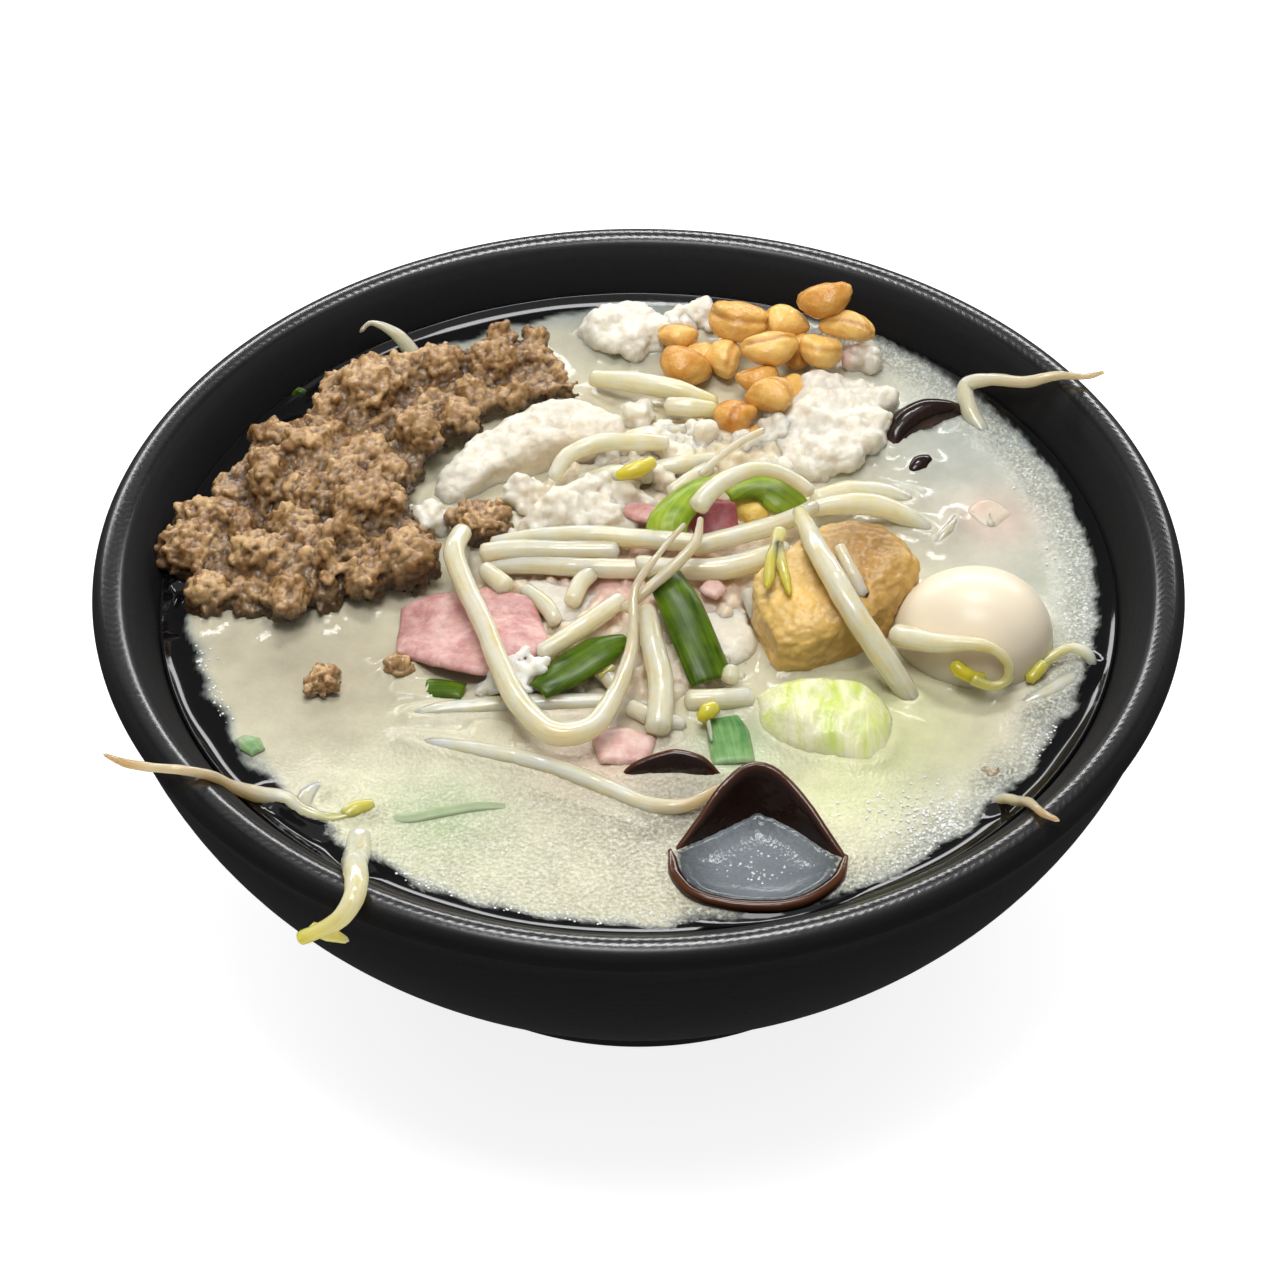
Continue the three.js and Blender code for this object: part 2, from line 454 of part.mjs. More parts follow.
upperLeaves.forEach(leafTopping);
topping('mince_lump_ham', 'mince', [crumb([-45.6, -21.4, 1.4], 8, 42)]);
topping('mince_lump_soup', 'mince', [crumb([-60, -25.3, 0.4], 9.6, 43)]);
topping('quail_egg', 'egg', [
  ball([63.9, -13.5, 2], [EGG_LENGTH, EGG_WIDTH, EGG_WIDTH], 165, 0.07, 14, 8),
], { sinks: true });
for (const [name, colour, outline, levels, options] of lumps) {
  topping(name, colour, [lump(outline, levels, options)], { sinks: sinking.has(name) });
}
topping('fish_back', 'fish', [
  lump([[-12, 77], [-9.4, 82.6], [-2, 84], [4.6, 81.4], [5.6, 75.5], [0, 70.5], [-9, 71]], [-3, 7],
    { seed: 23 }),
  lump([[4, 78], [7, 82.6], [13, 81.6], [13.6, 78.4], [8, 76]], [-2, 4.6], { seed: 34, sides: 8 }),
]);
lowerLeaves.forEach(leafTopping);
topping('wood_ear_cup', 'woodEar', [
  leaf([[6.9, -70.8, -0.4, 3.4], [9.6, -68.2, 0.6, 5.6], [13, -65.4, 2, 8.4], [17.3, -61.2, 3.8, 12],
    [21.1, -59, 4.3, 13], [25, -59.6, 3.9, 12], [30.2, -64, 2.5, 9.4], [36.8, -73, 0, 4.4]],
  WOOD_EAR_THICKNESS, { seed: 15, lean: -66, rows: 9, wave: 0.4 }),
  leaf([[6.8, -70, 0.4, 4], [7.9, -77.3, 0.7, 4.6], [11.1, -81.8, 0.8, 4.6], [20.8, -83.4, 0.8, 4.6],
    [30.2, -82, 0.8, 4.6], [35.8, -77.4, 0.7, 4.6], [37, -71.6, 0.6, 4]],
  WOOD_EAR_THICKNESS, { seed: 19, lean: 72, rows: 8, wave: 0.2 }),
], { sinks: true });

// ---- Fried soybeans: [x, y, lift, length, width, turn in degrees], fused into one heap ----
const soybeans = [
  [37.7, 74.8, 13, 11, 8.4, 10], [21.4, 74.5, 8, 13, 9.6, -10], [30.5, 76.4, 7, 9, 7.6, 20],
  [43.2, 72, 9, 12, 6.6, -15], [8.5, 73.6, 5, 8, 6, 10], [9.3, 64.3, 5, 10.6, 9, -20],
  [17.3, 67.4, 4, 8, 7, 70], [26.9, 64.2, 9, 11.6, 8, 20], [37, 66.6, 7, 8.6, 8, -5],
  [24.6, 58.6, 6, 9, 6, 5], [26.7, 52, 7, 10, 8, -20], [19.2, 48.2, 5, 9, 8, 50],
];
topping('soybean_heap', 'soybean', [
  lump([[5, 62], [5.6, 72], [12, 77], [20, 81], [32, 81.5], [45, 75], [42, 63], [31, 52], [22, 45.4],
    [15, 50], [9, 57]], [-3, 5.6], { seed: 51, rough: 0.3 }),
  ball([37, 74.6, 8], [14, 9, 9], 0),
  ...soybeans.map(([x, y, lift, length, width, turn]) => ball(
    [x, y, lift], [length, width, width * BEAN_DEPTH], turn,
  )),
]);

// ---- Minced meat: a low mound with the crumbs that show on it ----
const mound = lump([[-92, 10.5], [-90, 19], [-86, 32], [-78, 42], [-68, 50], [-64, 57], [-56, 64],
  [-42, 71], [-30, 73], [-24, 80], [-18, 79], [-15, 69], [-9, 57], [-19.7, 53.5], [-26.4, 52],
  [-32, 45], [-37, 37.6], [-41, 27], [-44, 20], [-39.5, 12.5], [-39.6, 3.7], [-46.5, -3.6],
  [-56.5, -7], [-69, -9], [-80, -9], [-88, -1]], [-4, 7.6],
{ seed: 61, rough: 1.4, fullness: 0.62, sides: 26, rows: 6 });
// [x, y, top of the crumb above the broth, width]
const crumbs = [
  [-59, 0.6, 14.6, 17], [-46.6, -0.6, 12, 13], [-43.6, 39, 13.6, 12], [-61, 19, 13, 13],
  [-21.4, 75.6, 9.6, 9], [-21, 66, 7.6, 9], [-11.4, 58.6, 6, 7], [-72, 16, 11, 11],
  [-52, 47.6, 11, 13], [-40.6, 56, 9.6, 11], [-31, 62, 8.6, 10], [-62.6, 48, 10, 10],
  [-48, 62, 8.6, 11], [-58, 57, 9, 9], [-72.6, 38, 10, 11], [-83, 31, 8, 9.6],
  [-84, 17, 8, 9.6], [-88.6, 9.6, 6.6, 8], [-76, 27, 10.6, 11], [-64, 33, 12, 12],
  [-50, 27, 12, 12], [-50, 13.6, 10, 10], [-74, 2, 8.6, 11], [-84, -2, 5.6, 9], [-72, -6, 6, 9],
  [-30, 72, 7.6, 9],
];
topping('mince_heap', 'mince', [mound, ...crumbs.map(([x, y, top, width], i) => (
  crumb([x, y, top - width * CRUMB_DROP], width, 63 + i)
))]);

// ---- Assembly ----
const bowlTwin = solidOf(grown(bowlSurface, GAP));
const belowSurface = solidOf(surfaceOf(
  new THREE.BoxGeometry(2 * BOWL_RADIUS, 2 * BOWL_RADIUS, BROTH_LEVEL)
    .translate(0, 0, BROTH_LEVEL / 2 + GAP),
));
const placed = [];
const cutters = [];
let broth = solidOf(brothSurface(GAP, BROTH_LEVEL));
for (const { name, colour, surfaces, sinks } of toppings) {
  let solid = joined(surfaces.map(solidOf)).subtract(bowlTwin);
  if (!sinks) solid = solid.subtract(belowSurface);
  for (const cutter of cutters) {
    if (solid.intersect(cutter).volume() > 0) solid = solid.subtract(cutter);
  }
  const cutter = joined(surfaces.map((surface) => solidOf(grown(surface, GAP))));
  cutters.push(cutter);
  if (sinks) broth = broth.subtract(cutter);
  placed.push({ name, colour, solid: largestBody(solid) });
}
placed.unshift(
  { name: 'bowl', colour: 'bowl', solid: solidOf(bowlSurface) },
  { name: 'broth', colour: 'broth', solid: largestBody(broth) },
);

const group = new THREE.Group();
for (const { name, colour, solid } of placed) {
  const [tint, roughness] = COLOURS[colour];
  const mesh = new THREE.Mesh(
    geometryOf(solid),
    new THREE.MeshStandardMaterial({ color: tint, roughness, metalness: 0 }),
  );
  mesh.name = name;
  group.add(mesh);
}

export default group;
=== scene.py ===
"""Looks of a bowl of fish noodle soup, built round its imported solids.

Metres, Z up, the bowl's axis on Z and its front towards -Y. Sizes and routes are written in
millimetres and turned to metres by MM. A route's points are [x, y, lift above the broth, width]
and, where its colour changes, a tint.
"""

import math

import bmesh
import bpy
import numpy as np
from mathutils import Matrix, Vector, kdtree


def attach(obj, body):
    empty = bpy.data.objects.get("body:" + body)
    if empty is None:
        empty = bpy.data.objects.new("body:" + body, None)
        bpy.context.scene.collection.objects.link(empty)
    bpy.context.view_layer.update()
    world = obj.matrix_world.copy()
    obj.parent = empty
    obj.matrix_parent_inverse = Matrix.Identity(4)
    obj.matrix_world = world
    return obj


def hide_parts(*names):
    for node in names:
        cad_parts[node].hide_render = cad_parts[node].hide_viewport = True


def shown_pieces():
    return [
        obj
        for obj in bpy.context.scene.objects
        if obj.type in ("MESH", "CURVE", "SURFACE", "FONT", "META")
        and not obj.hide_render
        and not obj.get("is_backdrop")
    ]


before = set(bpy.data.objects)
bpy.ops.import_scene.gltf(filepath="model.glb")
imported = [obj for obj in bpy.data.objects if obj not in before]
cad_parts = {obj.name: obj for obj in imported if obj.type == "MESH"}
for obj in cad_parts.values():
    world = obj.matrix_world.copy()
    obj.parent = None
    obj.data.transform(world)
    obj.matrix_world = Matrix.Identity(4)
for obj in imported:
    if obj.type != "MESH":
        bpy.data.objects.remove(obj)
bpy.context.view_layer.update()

# ---- Driving sizes, mm ----
MM = 0.001
BOWL_RADIUS = 105
BOWL_HEIGHT = 77
LIP_WIDTH = 7.2
LIP_DEPTH = 6.4
FOOT_RADIUS = 57.6
FOOT_HEIGHT = 8.8
FOOT_EDGE = 0.8
BODY_START = 60
FLOOR_HEIGHT = 10
BROTH_LEVEL = 66.5
BROTH_OVERLAP = 0.15          # how far the broth reaches into the wall
STEM_STEP = 0.6               # between the rings of a bean sprout
LEAF_STEP = 0.7               # between the points of a leaf or slice
PATCH_STEP = 1.2              # between the points round the cabbage leaf
HAM_THICKNESS = 2.2
LEEK_THICKNESS = 1.1
CABBAGE_THICKNESS = 1.6
WOOD_EAR_THICKNESS = 1.7
CUP_FRONT_THICKNESS = 2.4
MENISCUS_HEIGHT = 1.9         # how far the broth climbs what stands in it
MENISCUS_WIDTH = 2.5
BROTH_RIPPLE = 0.08           # of the open surface
CHEVRON_SPACING = 2.0         # of the feathered dents along the lip
EGG_SIZE = (31, 27.5, 27.5)
EGG_CENTRE = (63.9, -13.5, BROTH_LEVEL + 2)
CAMERA_AIM = (0.29, 0, 55.1)
CAMERA_DISTANCE = 870

# ---- Counts, angles and colours ----
SEED = 7
BOWL_SIDES = 288
STEM_SIDES = 16
BROTH_SIDES = 510
BROTH_RINGS = 160
EGG_TURN = 165                # degrees
CAMERA_ELEVATION = 43         # degrees
BROTH_BASE = 0xcdc6ad         # stirred broth
FISH_BASE = 0xebe4d3          # fish flesh before its tones


# ---- Small tools ----
def linear(hex_colour):
    """An sRGB hex colour as linear red, green, blue and alpha."""
    channels = [((hex_colour >> shift) & 255) / 255 for shift in (16, 8, 0)]
    return [c / 12.92 if c <= 0.04045 else ((c + 0.055) / 1.055) ** 2.4 for c in channels] + [1]


def per(millimetres):
    """The scale that gives a pattern this size."""
    return 1 / (millimetres * MM)


def give(socket, source):
    """Gives an input its value, or joins it to another node's output."""
    if isinstance(source, bpy.types.NodeSocket):
        socket.id_data.links.new(source, socket)
    else:
        socket.default_value = source


def add(tree, kind, links=None, **settings):
    """Adds a node: settings are its own properties, links its inputs, each a socket or a value."""
    node = tree.nodes.new(kind)
    for name, value in settings.items():
        setattr(node, name, value)
    for name, source in (links or {}).items():
        give(node.inputs[name], source)
    return node


def link(thing):
    """Adds an object to the scene."""
    bpy.context.scene.collection.objects.link(thing)
    return thing


def mesh_of(name, points, faces, values=None, uv=None):
    """A smooth mesh from points in metres, with named values for its points and a UV map."""
    mesh = bpy.data.meshes.new(name)
    mesh.from_pydata([tuple(p) for p in points], [], [tuple(f) for f in faces])
    for label, numbers in (values or {}).items():
        numbers = np.asarray(numbers, np.float32)
        kind, field = ("FLOAT", "value") if numbers.ndim == 1 else ("FLOAT_COLOR", "color")
        mesh.attributes.new(label, kind, "POINT").data.foreach_set(field, numbers.ravel())
    if uv is not None:
        corners = np.empty(len(mesh.loops), np.int32)
        mesh.loops.foreach_get("vertex_index", corners)
        layer = mesh.uv_layers.new(name="UVMap")
        layer.data.foreach_set("uv", np.asarray(uv, np.float32)[corners].ravel())
    mesh.polygons.foreach_set("use_smooth", np.ones(len(mesh.polygons), bool))
    mesh.update()
    return mesh


def changed(mesh, change):
    """The mesh after one bmesh operation."""
    work = bmesh.new()
    work.from_mesh(mesh)
    change(work)
    work.to_mesh(mesh)
    work.free()
    return mesh


def merged(mesh):
    """The mesh with its doubled seam points joined; the UV map keeps both sides of the seam."""
    return changed(mesh, lambda work: bmesh.ops.remove_doubles(
        work, verts=work.verts, dist=1e-6))


def outward(mesh):
    """The mesh with its faces turned to point outwards."""
    return changed(mesh, lambda work: bmesh.ops.recalc_face_normals(work, faces=work.faces))


def points_of(thing):
    """The object's points, in millimetres."""
    place = np.empty(len(thing.data.vertices) * 3, np.float32)
    thing.data.vertices.foreach_get("co", place)
    return place.reshape(-1, 3) / MM


def keep(mesh, label, values):
    """Keeps a number for each point under a label that a material or tree reads."""
    mesh.attributes.new(label, "FLOAT", "POINT").data.foreach_set("value", values)


def ring_faces(rows, columns, start=0):
    """Faces between rows of points, each row closed into a ring."""
    return [(start + r * columns + c, start + (r + 1) * columns + c,
             start + (r + 1) * columns + (c + 1) % columns, start + r * columns + (c + 1) % columns)
            for r in range(rows - 1) for c in range(columns)]


def sheet_faces(rows, columns):
    """Faces of a closed sheet: a grid of points, the same grid again below it, and the rim."""
    count = rows * columns
    at = np.arange(count).reshape(rows, columns)
    quads = np.stack([at[:-1, :-1], at[:-1, 1:], at[1:, 1:], at[1:, :-1]], -1).reshape(-1, 4)
    rim = np.concatenate([at[0], at[1:, -1], at[-1, -2::-1], at[-2:0:-1, 0]])
    nexts = np.roll(rim, -1)
    return np.vstack([quads, quads[:, ::-1] + count,
                      np.stack([rim, rim + count, nexts + count, nexts], 1)])


def sphere_grid(columns, rows):
    """Unit directions, row by row from straight up to straight down."""
    u = np.linspace(0, 2 * math.pi, columns + 1)[None, :-1]
    v = np.linspace(0, math.pi, rows + 1)[:, None]
    return np.stack([np.sin(v) * np.cos(u), np.sin(v) * np.sin(u), np.cos(v) * np.ones_like(u)], -1)


def turned(points, degrees):
    """The points turned about Z."""
    turn = math.radians(degrees)
    return np.stack([points[..., 0] * math.cos(turn) - points[..., 1] * math.sin(turn),
                     points[..., 0] * math.sin(turn) + points[..., 1] * math.cos(turn),
                     points[..., 2]], -1)


def run_along(line):
    """How far each point lies along the line."""
    return np.concatenate([[0], np.cumsum(np.linalg.norm(np.diff(line, axis=0), axis=1))])


def piece(name, mesh, material, nodes=()):
    """A finished piece from a mesh and its material."""
    mesh.materials.append(material)
    dress(link(bpy.data.objects.new(name, mesh)), nodes)


def dress(thing, nodes=()):
    """Puts an object on the one body and the nodes that it stands for."""
    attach(thing, "root")
    if nodes:
        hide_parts(*nodes)


def plain(thing):
    """The object with what its modifiers make as its own mesh."""
    depsgraph = bpy.context.evaluated_depsgraph_get()
    mesh = bpy.data.meshes.new_from_object(
        thing.evaluated_get(depsgraph), preserve_all_data_layers=True, depsgraph=depsgraph)
    thing.modifiers.clear()
    thing.data = mesh
    return thing


def shape_by(thing, tree, **values):
    """Adds a Geometry Nodes modifier with its named inputs set."""
    modifier = thing.modifiers.new(tree.name, "NODES")
    modifier.node_group = tree
    wanted = {label.replace("_", " "): value for label, value in values.items()}
    for socket in tree.interface.items_tree:
        if socket.item_type == "SOCKET" and socket.in_out == "INPUT":
            if socket.name in wanted:
                modifier[socket.identifier] = wanted[socket.name]


def shape_tree(name, **inputs):
    """A Geometry Nodes tree with a shape coming in and going out and named inputs between."""
    tree = bpy.data.node_groups.new(name, "GeometryNodeTree")
    tree.interface.new_socket("shape", in_out="INPUT", socket_type="NodeSocketGeometry")
    for label, start in inputs.items():
        kind = {int: "Int", float: "Float", type(None): "Material"}[type(start)]
        socket = tree.interface.new_socket(
            label.replace("_", " "), in_out="INPUT", socket_type="NodeSocket" + kind)
        if start is not None:
            socket.default_value = start
    tree.interface.new_socket("shape", in_out="OUTPUT", socket_type="NodeSocketGeometry")
    return tree, tree.nodes.new("NodeGroupInput").outputs


def end_tree(tree, shape, finish):
    """Ends a tree: real smooth faces with their finish."""
    real = add(tree, "GeometryNodeRealizeInstances", {"Geometry": shape})
    smooth = add(tree, "GeometryNodeSetShadeSmooth", {"Geometry": real.outputs[0]})
    finished = add(tree, "GeometryNodeSetMaterial", {
        "Geometry": smooth.outputs[0], "Material": finish})
    add(tree, "NodeGroupOutput", {"shape": finished.outputs[0]})
    return tree


# ---- Lines and waves shared by stems and leaves ----
def along(route, step):
    """Points about a step apart on a smooth line through the route, its other columns between."""
    rows = np.array([list(p) + [0.0] * (5 - len(p)) for p in route], float)
    rows[:, 2] += BROTH_LEVEL
    place = rows[:, :3]
    ends = np.vstack([2 * place[0] - place[1], place, 2 * place[-1] - place[-2]])
    result = []
    for i in range(len(place) - 1):
        before, start, end, after = ends[i:i + 4]
        spans = [max(np.linalg.norm(b - a), 1e-9) ** 0.5
                 for a, b in ((before, start), (start, end), (end, after))]
        out = ((start - before) / spans[0] - (end - before) / (spans[0] + spans[1])
               + (end - start) / spans[1]) * spans[1]
        into = ((end - start) / spans[1] - (after - start) / (spans[1] + spans[2])
                + (after - end) / spans[2]) * spans[1]
        count = max(1, math.ceil(np.linalg.norm(end - start) / step))
        t = (np.arange(count) / count)[:, None]
        bend = (-3 * start + 3 * end - 2 * out - into) * t ** 2
        line = start + out * t + bend + (2 * start - 2 * end + out + into) * t ** 3
        result.append(np.hstack([line, rows[i, 3:] * (1 - t) + rows[i + 1, 3:] * t]))
    result.append(rows[-1:])
    return np.vstack(result)


def waviness(points, seed, wave_length):
    """Smooth unevenness, from -1 to 1, from a few sine waves; a seed always gives the same."""
    draw = np.random.RandomState(seed)
    total = np.zeros(points.shape[:-1])
    for _ in range(4):
        way = draw.uniform(-1, 1, 3)
        way *= 2 * math.pi / wave_length * draw.uniform(0.7, 1.5) / np.linalg.norm(way)
        total += np.sin(points @ way + draw.uniform(0, 2 * math.pi))
    return total / 4


def toned(colour, place, tones):
    """The colours, with another tone round each [x, y, radius, colour, strength]."""
    for x, y, radius, tone, strength in tones:
        away = (place[:, 0] - x) ** 2 + (place[:, 1] - y) ** 2
        share = strength * np.exp(-away / radius ** 2)
        colour += (np.array(linear(tone)[:colour.shape[1]]) - colour) * share[:, None]
    return colour


def tinted(thing, base, tones):
    """Keeps a colour for each of the object's points: the base with its tones."""
    place = points_of(thing)
    colour = toned(np.tile(linear(base), (len(place), 1)), place, tones)
    layer = thing.data.attributes.new("tint", "FLOAT_COLOR", "POINT")
    layer.data.foreach_set("color", colour.astype(np.float32).ravel())


# ---- Materials ----
def veiled(tree, colour, reach, most=0.8):
    """The colour, veiled by milky broth where the surface dips to its level."""
    place = add(tree, "ShaderNodeTexCoord").outputs["Object"]
    parts = add(tree, "ShaderNodeSeparateXYZ", {"Vector": place})
    ragged = add(tree, "ShaderNodeTexNoise", {"Vector": place, "Scale": per(3), "Detail": 3})
    height = add(tree, "ShaderNodeMath", {
        0: ragged.outputs[0], 1: 1.2 * MM, 2: parts.outputs["Z"]}, operation="MULTIPLY_ADD")
    veil = add(tree, "ShaderNodeMapRange", {
        "Value": height.outputs[0], "From Min": (BROTH_LEVEL + 0.6 + reach) * MM,
        "From Max": (BROTH_LEVEL + 0.9) * MM, "To Max": most}, interpolation_type="SMOOTHSTEP")
    return add(tree, "ShaderNodeMix", {0: veil.outputs[0], 6: colour, 7: linear(BROTH_BASE)},
               data_type="RGBA").outputs[2]


def new_finish(name):
    """A new material, its tree, and the one shader that a finish's values go to."""
    material = bpy.data.materials.new(name)
    material.use_nodes = True
    tree = material.node_tree
    tree.nodes.clear()
    skin = add(tree, "ShaderNodeBsdfPrincipled")
    add(tree, "ShaderNodeOutputMaterial", {"Surface": skin.outputs["BSDF"]})
    return material, tree, skin


def settle(skin, **values):
    """Gives the shader its patterns, and its values that are the same all over, by name."""
    for label, value in values.items():
        give(skin.inputs[label.replace("_", " ")], value)


def moulded_black_melamine():
    """Moulded melamine: near-black satin with a faint leathery grain that softens reflections,
    and short feathered dents along the lip that break its highlight up. The grain is coarser
    than the real one, so that it shows."""
    material, tree, skin = new_finish("moulded_black_melamine")
    place = add(tree, "ShaderNodeTexCoord")
    grain = add(tree, "ShaderNodeTexNoise", {
        "Vector": place.outputs["Object"], "Scale": per(1.1), "Detail": 4, "Roughness": 0.65})
    streaks = add(tree, "ShaderNodeMapping", {
        "Vector": place.outputs["Object"], "Scale": (0.25, 0.25, 1.6)})
    drawn = add(tree, "ShaderNodeTexNoise", {
        "Vector": streaks.outputs[0], "Scale": per(2.2), "Detail": 3, "Roughness": 0.6})
    parts = add(tree, "ShaderNodeSeparateXYZ", {"Vector": place.outputs["UV"]})
    away = add(tree, "ShaderNodeMath", {0: parts.outputs["Y"]}, operation="ABSOLUTE")
    wobble = add(tree, "ShaderNodeTexNoise", {
        "Vector": place.outputs["Object"], "Scale": per(2.2), "Detail": 3})
    slant = add(tree, "ShaderNodeMath", {0: away.outputs[0], 1: 1.1, 2: parts.outputs["X"]},
                operation="MULTIPLY_ADD")
    drift = add(tree, "ShaderNodeMath", {0: wobble.outputs[0], 1: 0.8}, operation="MULTIPLY")
    steps = add(tree, "ShaderNodeMath", {0: slant.outputs[0], 1: per(CHEVRON_SPACING),
                                         2: drift.outputs[0]}, operation="MULTIPLY_ADD")
    dents = add(tree, "ShaderNodeMath", {0: steps.outputs[0], 1: 0.5}, operation="PINGPONG")
    near = add(tree, "ShaderNodeMapRange", {
        "Value": away.outputs[0], "From Min": 2.4 * MM, "From Max": 0.8 * MM},
        interpolation_type="SMOOTHSTEP")
    feather = add(tree, "ShaderNodeMath", {0: dents.outputs[0], 1: near.outputs[0]},
                  operation="MULTIPLY")
    fine = add(tree, "ShaderNodeBump", {
        "Height": grain.outputs[0], "Strength": 0.25, "Distance": 0.12 * MM})
    lines = add(tree, "ShaderNodeBump", {
        "Height": drawn.outputs[0], "Strength": 0.22, "Distance": 0.2 * MM,
        "Normal": fine.outputs[0]})
    lip = add(tree, "ShaderNodeBump", {
        "Height": feather.outputs[0], "Strength": 0.22, "Distance": 0.16 * MM,
        "Normal": lines.outputs[0]})
    shade = add(tree, "ShaderNodeMix", {
        0: drawn.outputs[0], 6: linear(0x080708), 7: linear(0x111012)}, data_type="RGBA")
    matt = add(tree, "ShaderNodeMapRange", {
        "Value": grain.outputs[0], "To Min": 0.66, "To Max": 0.82})
    worn = add(tree, "ShaderNodeMapRange", {
        "Value": away.outputs[0], "From Min": 3.2 * MM, "From Max": 1.4 * MM, "To Max": 0.54},
        interpolation_type="SMOOTHSTEP")
    rough = add(tree, "ShaderNodeMath", {0: matt.outputs[0], 1: worn.outputs[0]},
                operation="SUBTRACT")
    settle(skin, Base_Color=shade.outputs[2],
           Roughness=rough.outputs[0],
           Normal=lip.outputs[0],
           Coat_Weight=near.outputs[0],
           Coat_Normal=lip.outputs[0],
           IOR=1.5, Specular_IOR_Level=0.24, Coat_Roughness=0.24)
    return material


def milky_fish_broth():
    """Fish broth boiled milky: glossy water on a cloudy body that light goes a few millimetres
    into, with fine froth and fat granules where it has been stirred."""
    material, tree, skin = new_finish("milky_fish_broth")
    place = add(tree, "ShaderNodeTexCoord").outputs["Object"]
    tint = add(tree, "ShaderNodeAttribute", attribute_name="tint").outputs["Color"]
    froth = add(tree, "ShaderNodeAttribute", attribute_name="froth").outputs["Fac"]
    grains = add(tree, "ShaderNodeTexVoronoi", {"Vector": place, "Scale": per(0.85)})
    fine = add(tree, "ShaderNodeTexNoise", {
        "Vector": place, "Scale": per(0.75), "Detail": 3, "Roughness": 0.7})
    clouds = add(tree, "ShaderNodeTexNoise", {
        "Vector": place, "Scale": per(9), "Detail": 5, "Roughness": 0.62})
    cloudy = add(tree, "ShaderNodeMapRange", {
        "Value": clouds.outputs[0], "From Min": 0.3, "From Max": 0.7, "To Min": 0.84,
        "To Max": 1.08})
    body = add(tree, "ShaderNodeVectorMath", {0: tint, "Scale": cloudy.outputs[0]},
               operation="SCALE")
    speck = add(tree, "ShaderNodeMapRange", {
        "Value": fine.outputs[0], "From Min": 0.46, "From Max": 0.64, "To Max": 0.85})
    specks = add(tree, "ShaderNodeMath", {0: speck.outputs[0], 1: froth}, operation="MULTIPLY")
    mixed = add(tree, "ShaderNodeMix", {
        0: specks.outputs[0], 6: body.outputs[0], 7: linear(0xf0edda)}, data_type="RGBA")
    relief = add(tree, "ShaderNodeMath", {
        0: grains.outputs["Distance"], 1: -1.0, 2: fine.outputs[0]}, operation="MULTIPLY_ADD")
    rise = add(tree, "ShaderNodeMath", {0: relief.outputs[0], 1: froth}, operation="MULTIPLY")
    bump = add(tree, "ShaderNodeBump", {
        "Height": rise.outputs[0], "Strength": 0.9, "Distance": 0.7 * MM})
    wet = add(tree, "ShaderNodeMapRange", {"Value": froth, "To Min": 0.07, "To Max": 0.36})
    settle(skin, Base_Color=mixed.outputs[2],
           Roughness=wet.outputs[0],
           Normal=bump.outputs[0],
           IOR=1.34, Subsurface_Weight=0.35, Subsurface_Scale=2 * MM,
           Subsurface_Radius=(1.0, 0.8, 0.55))
    return material


def blanched_sprout():
    """Blanched mung bean sprout: wet ivory flesh that lets light through, browner at the root
    and yellow-green at the head, with faint fibres, drawn several times as coarse as real ones
    so that they show."""
    material, tree, skin = new_finish("blanched_bean_sprout")
    place = add(tree, "ShaderNodeTexCoord").outputs["Object"]
    tint = add(tree, "ShaderNodeAttribute", attribute_name="tint").outputs["Fac"]
    clouds = add(tree, "ShaderNodeTexNoise", {
        "Vector": place, "Scale": per(4), "Detail": 4, "Roughness": 0.6})
    section = add(tree, "ShaderNodeAttribute", attribute_name="section").outputs["Vector"]
    run = add(tree, "ShaderNodeAttribute", attribute_name="run").outputs["Fac"]
    slow = add(tree, "ShaderNodeMath", {0: run, 1: 0.05}, operation="MULTIPLY")
    length = add(tree, "ShaderNodeCombineXYZ", {"Z": slow.outputs[0]})
    way = add(tree, "ShaderNodeVectorMath", {
        0: section, 1: (4 * MM, 4 * MM, 0), 2: length.outputs[0]}, operation="MULTIPLY_ADD")
    fibres = add(tree, "ShaderNodeTexNoise", {
        "Vector": way.outputs[0], "Scale": per(0.8), "Detail": 2, "Roughness": 0.6})
    both = add(tree, "ShaderNodeMath", {0: fibres.outputs[0], 1: clouds.outputs[0]},
               operation="ADD")
    share = add(tree, "ShaderNodeMapRange", {
        "Value": both.outputs[0], "From Min": 0.7, "From Max": 1.3})
    pale = add(tree, "ShaderNodeMix", {
        0: share.outputs[0], 6: linear(0xf4dcac), 7: linear(0xfff7e0)}, data_type="RGBA")
    root = add(tree, "ShaderNodeMapRange", {"Value": tint, "From Max": -1.0})
    browned = add(tree, "ShaderNodeMix", {
        0: root.outputs[0], 6: pale.outputs[2], 7: linear(0xb98f62)}, data_type="RGBA")
    head = add(tree, "ShaderNodeMapRange", {"Value": tint, "From Max": 1.0})
    ripened = add(tree, "ShaderNodeMix", {
        0: head.outputs[0], 6: browned.outputs[2], 7: linear(0xe2cf2f)}, data_type="RGBA")
    bump = add(tree, "ShaderNodeBump", {
        "Height": fibres.outputs[0], "Strength": 0.3, "Distance": 0.2 * MM})
    settle(skin, Base_Color=veiled(tree, ripened.outputs[2], 1.6, 0.7),
           Normal=bump.outputs[0],
           Roughness=0.14, IOR=1.37, Subsurface_Weight=1.0, Subsurface_Scale=6 * MM,
           Subsurface_Radius=(1.0, 0.9, 0.7), Transmission_Weight=0.26, Coat_Weight=0.45,
           Coat_Roughness=0.08)
    return material


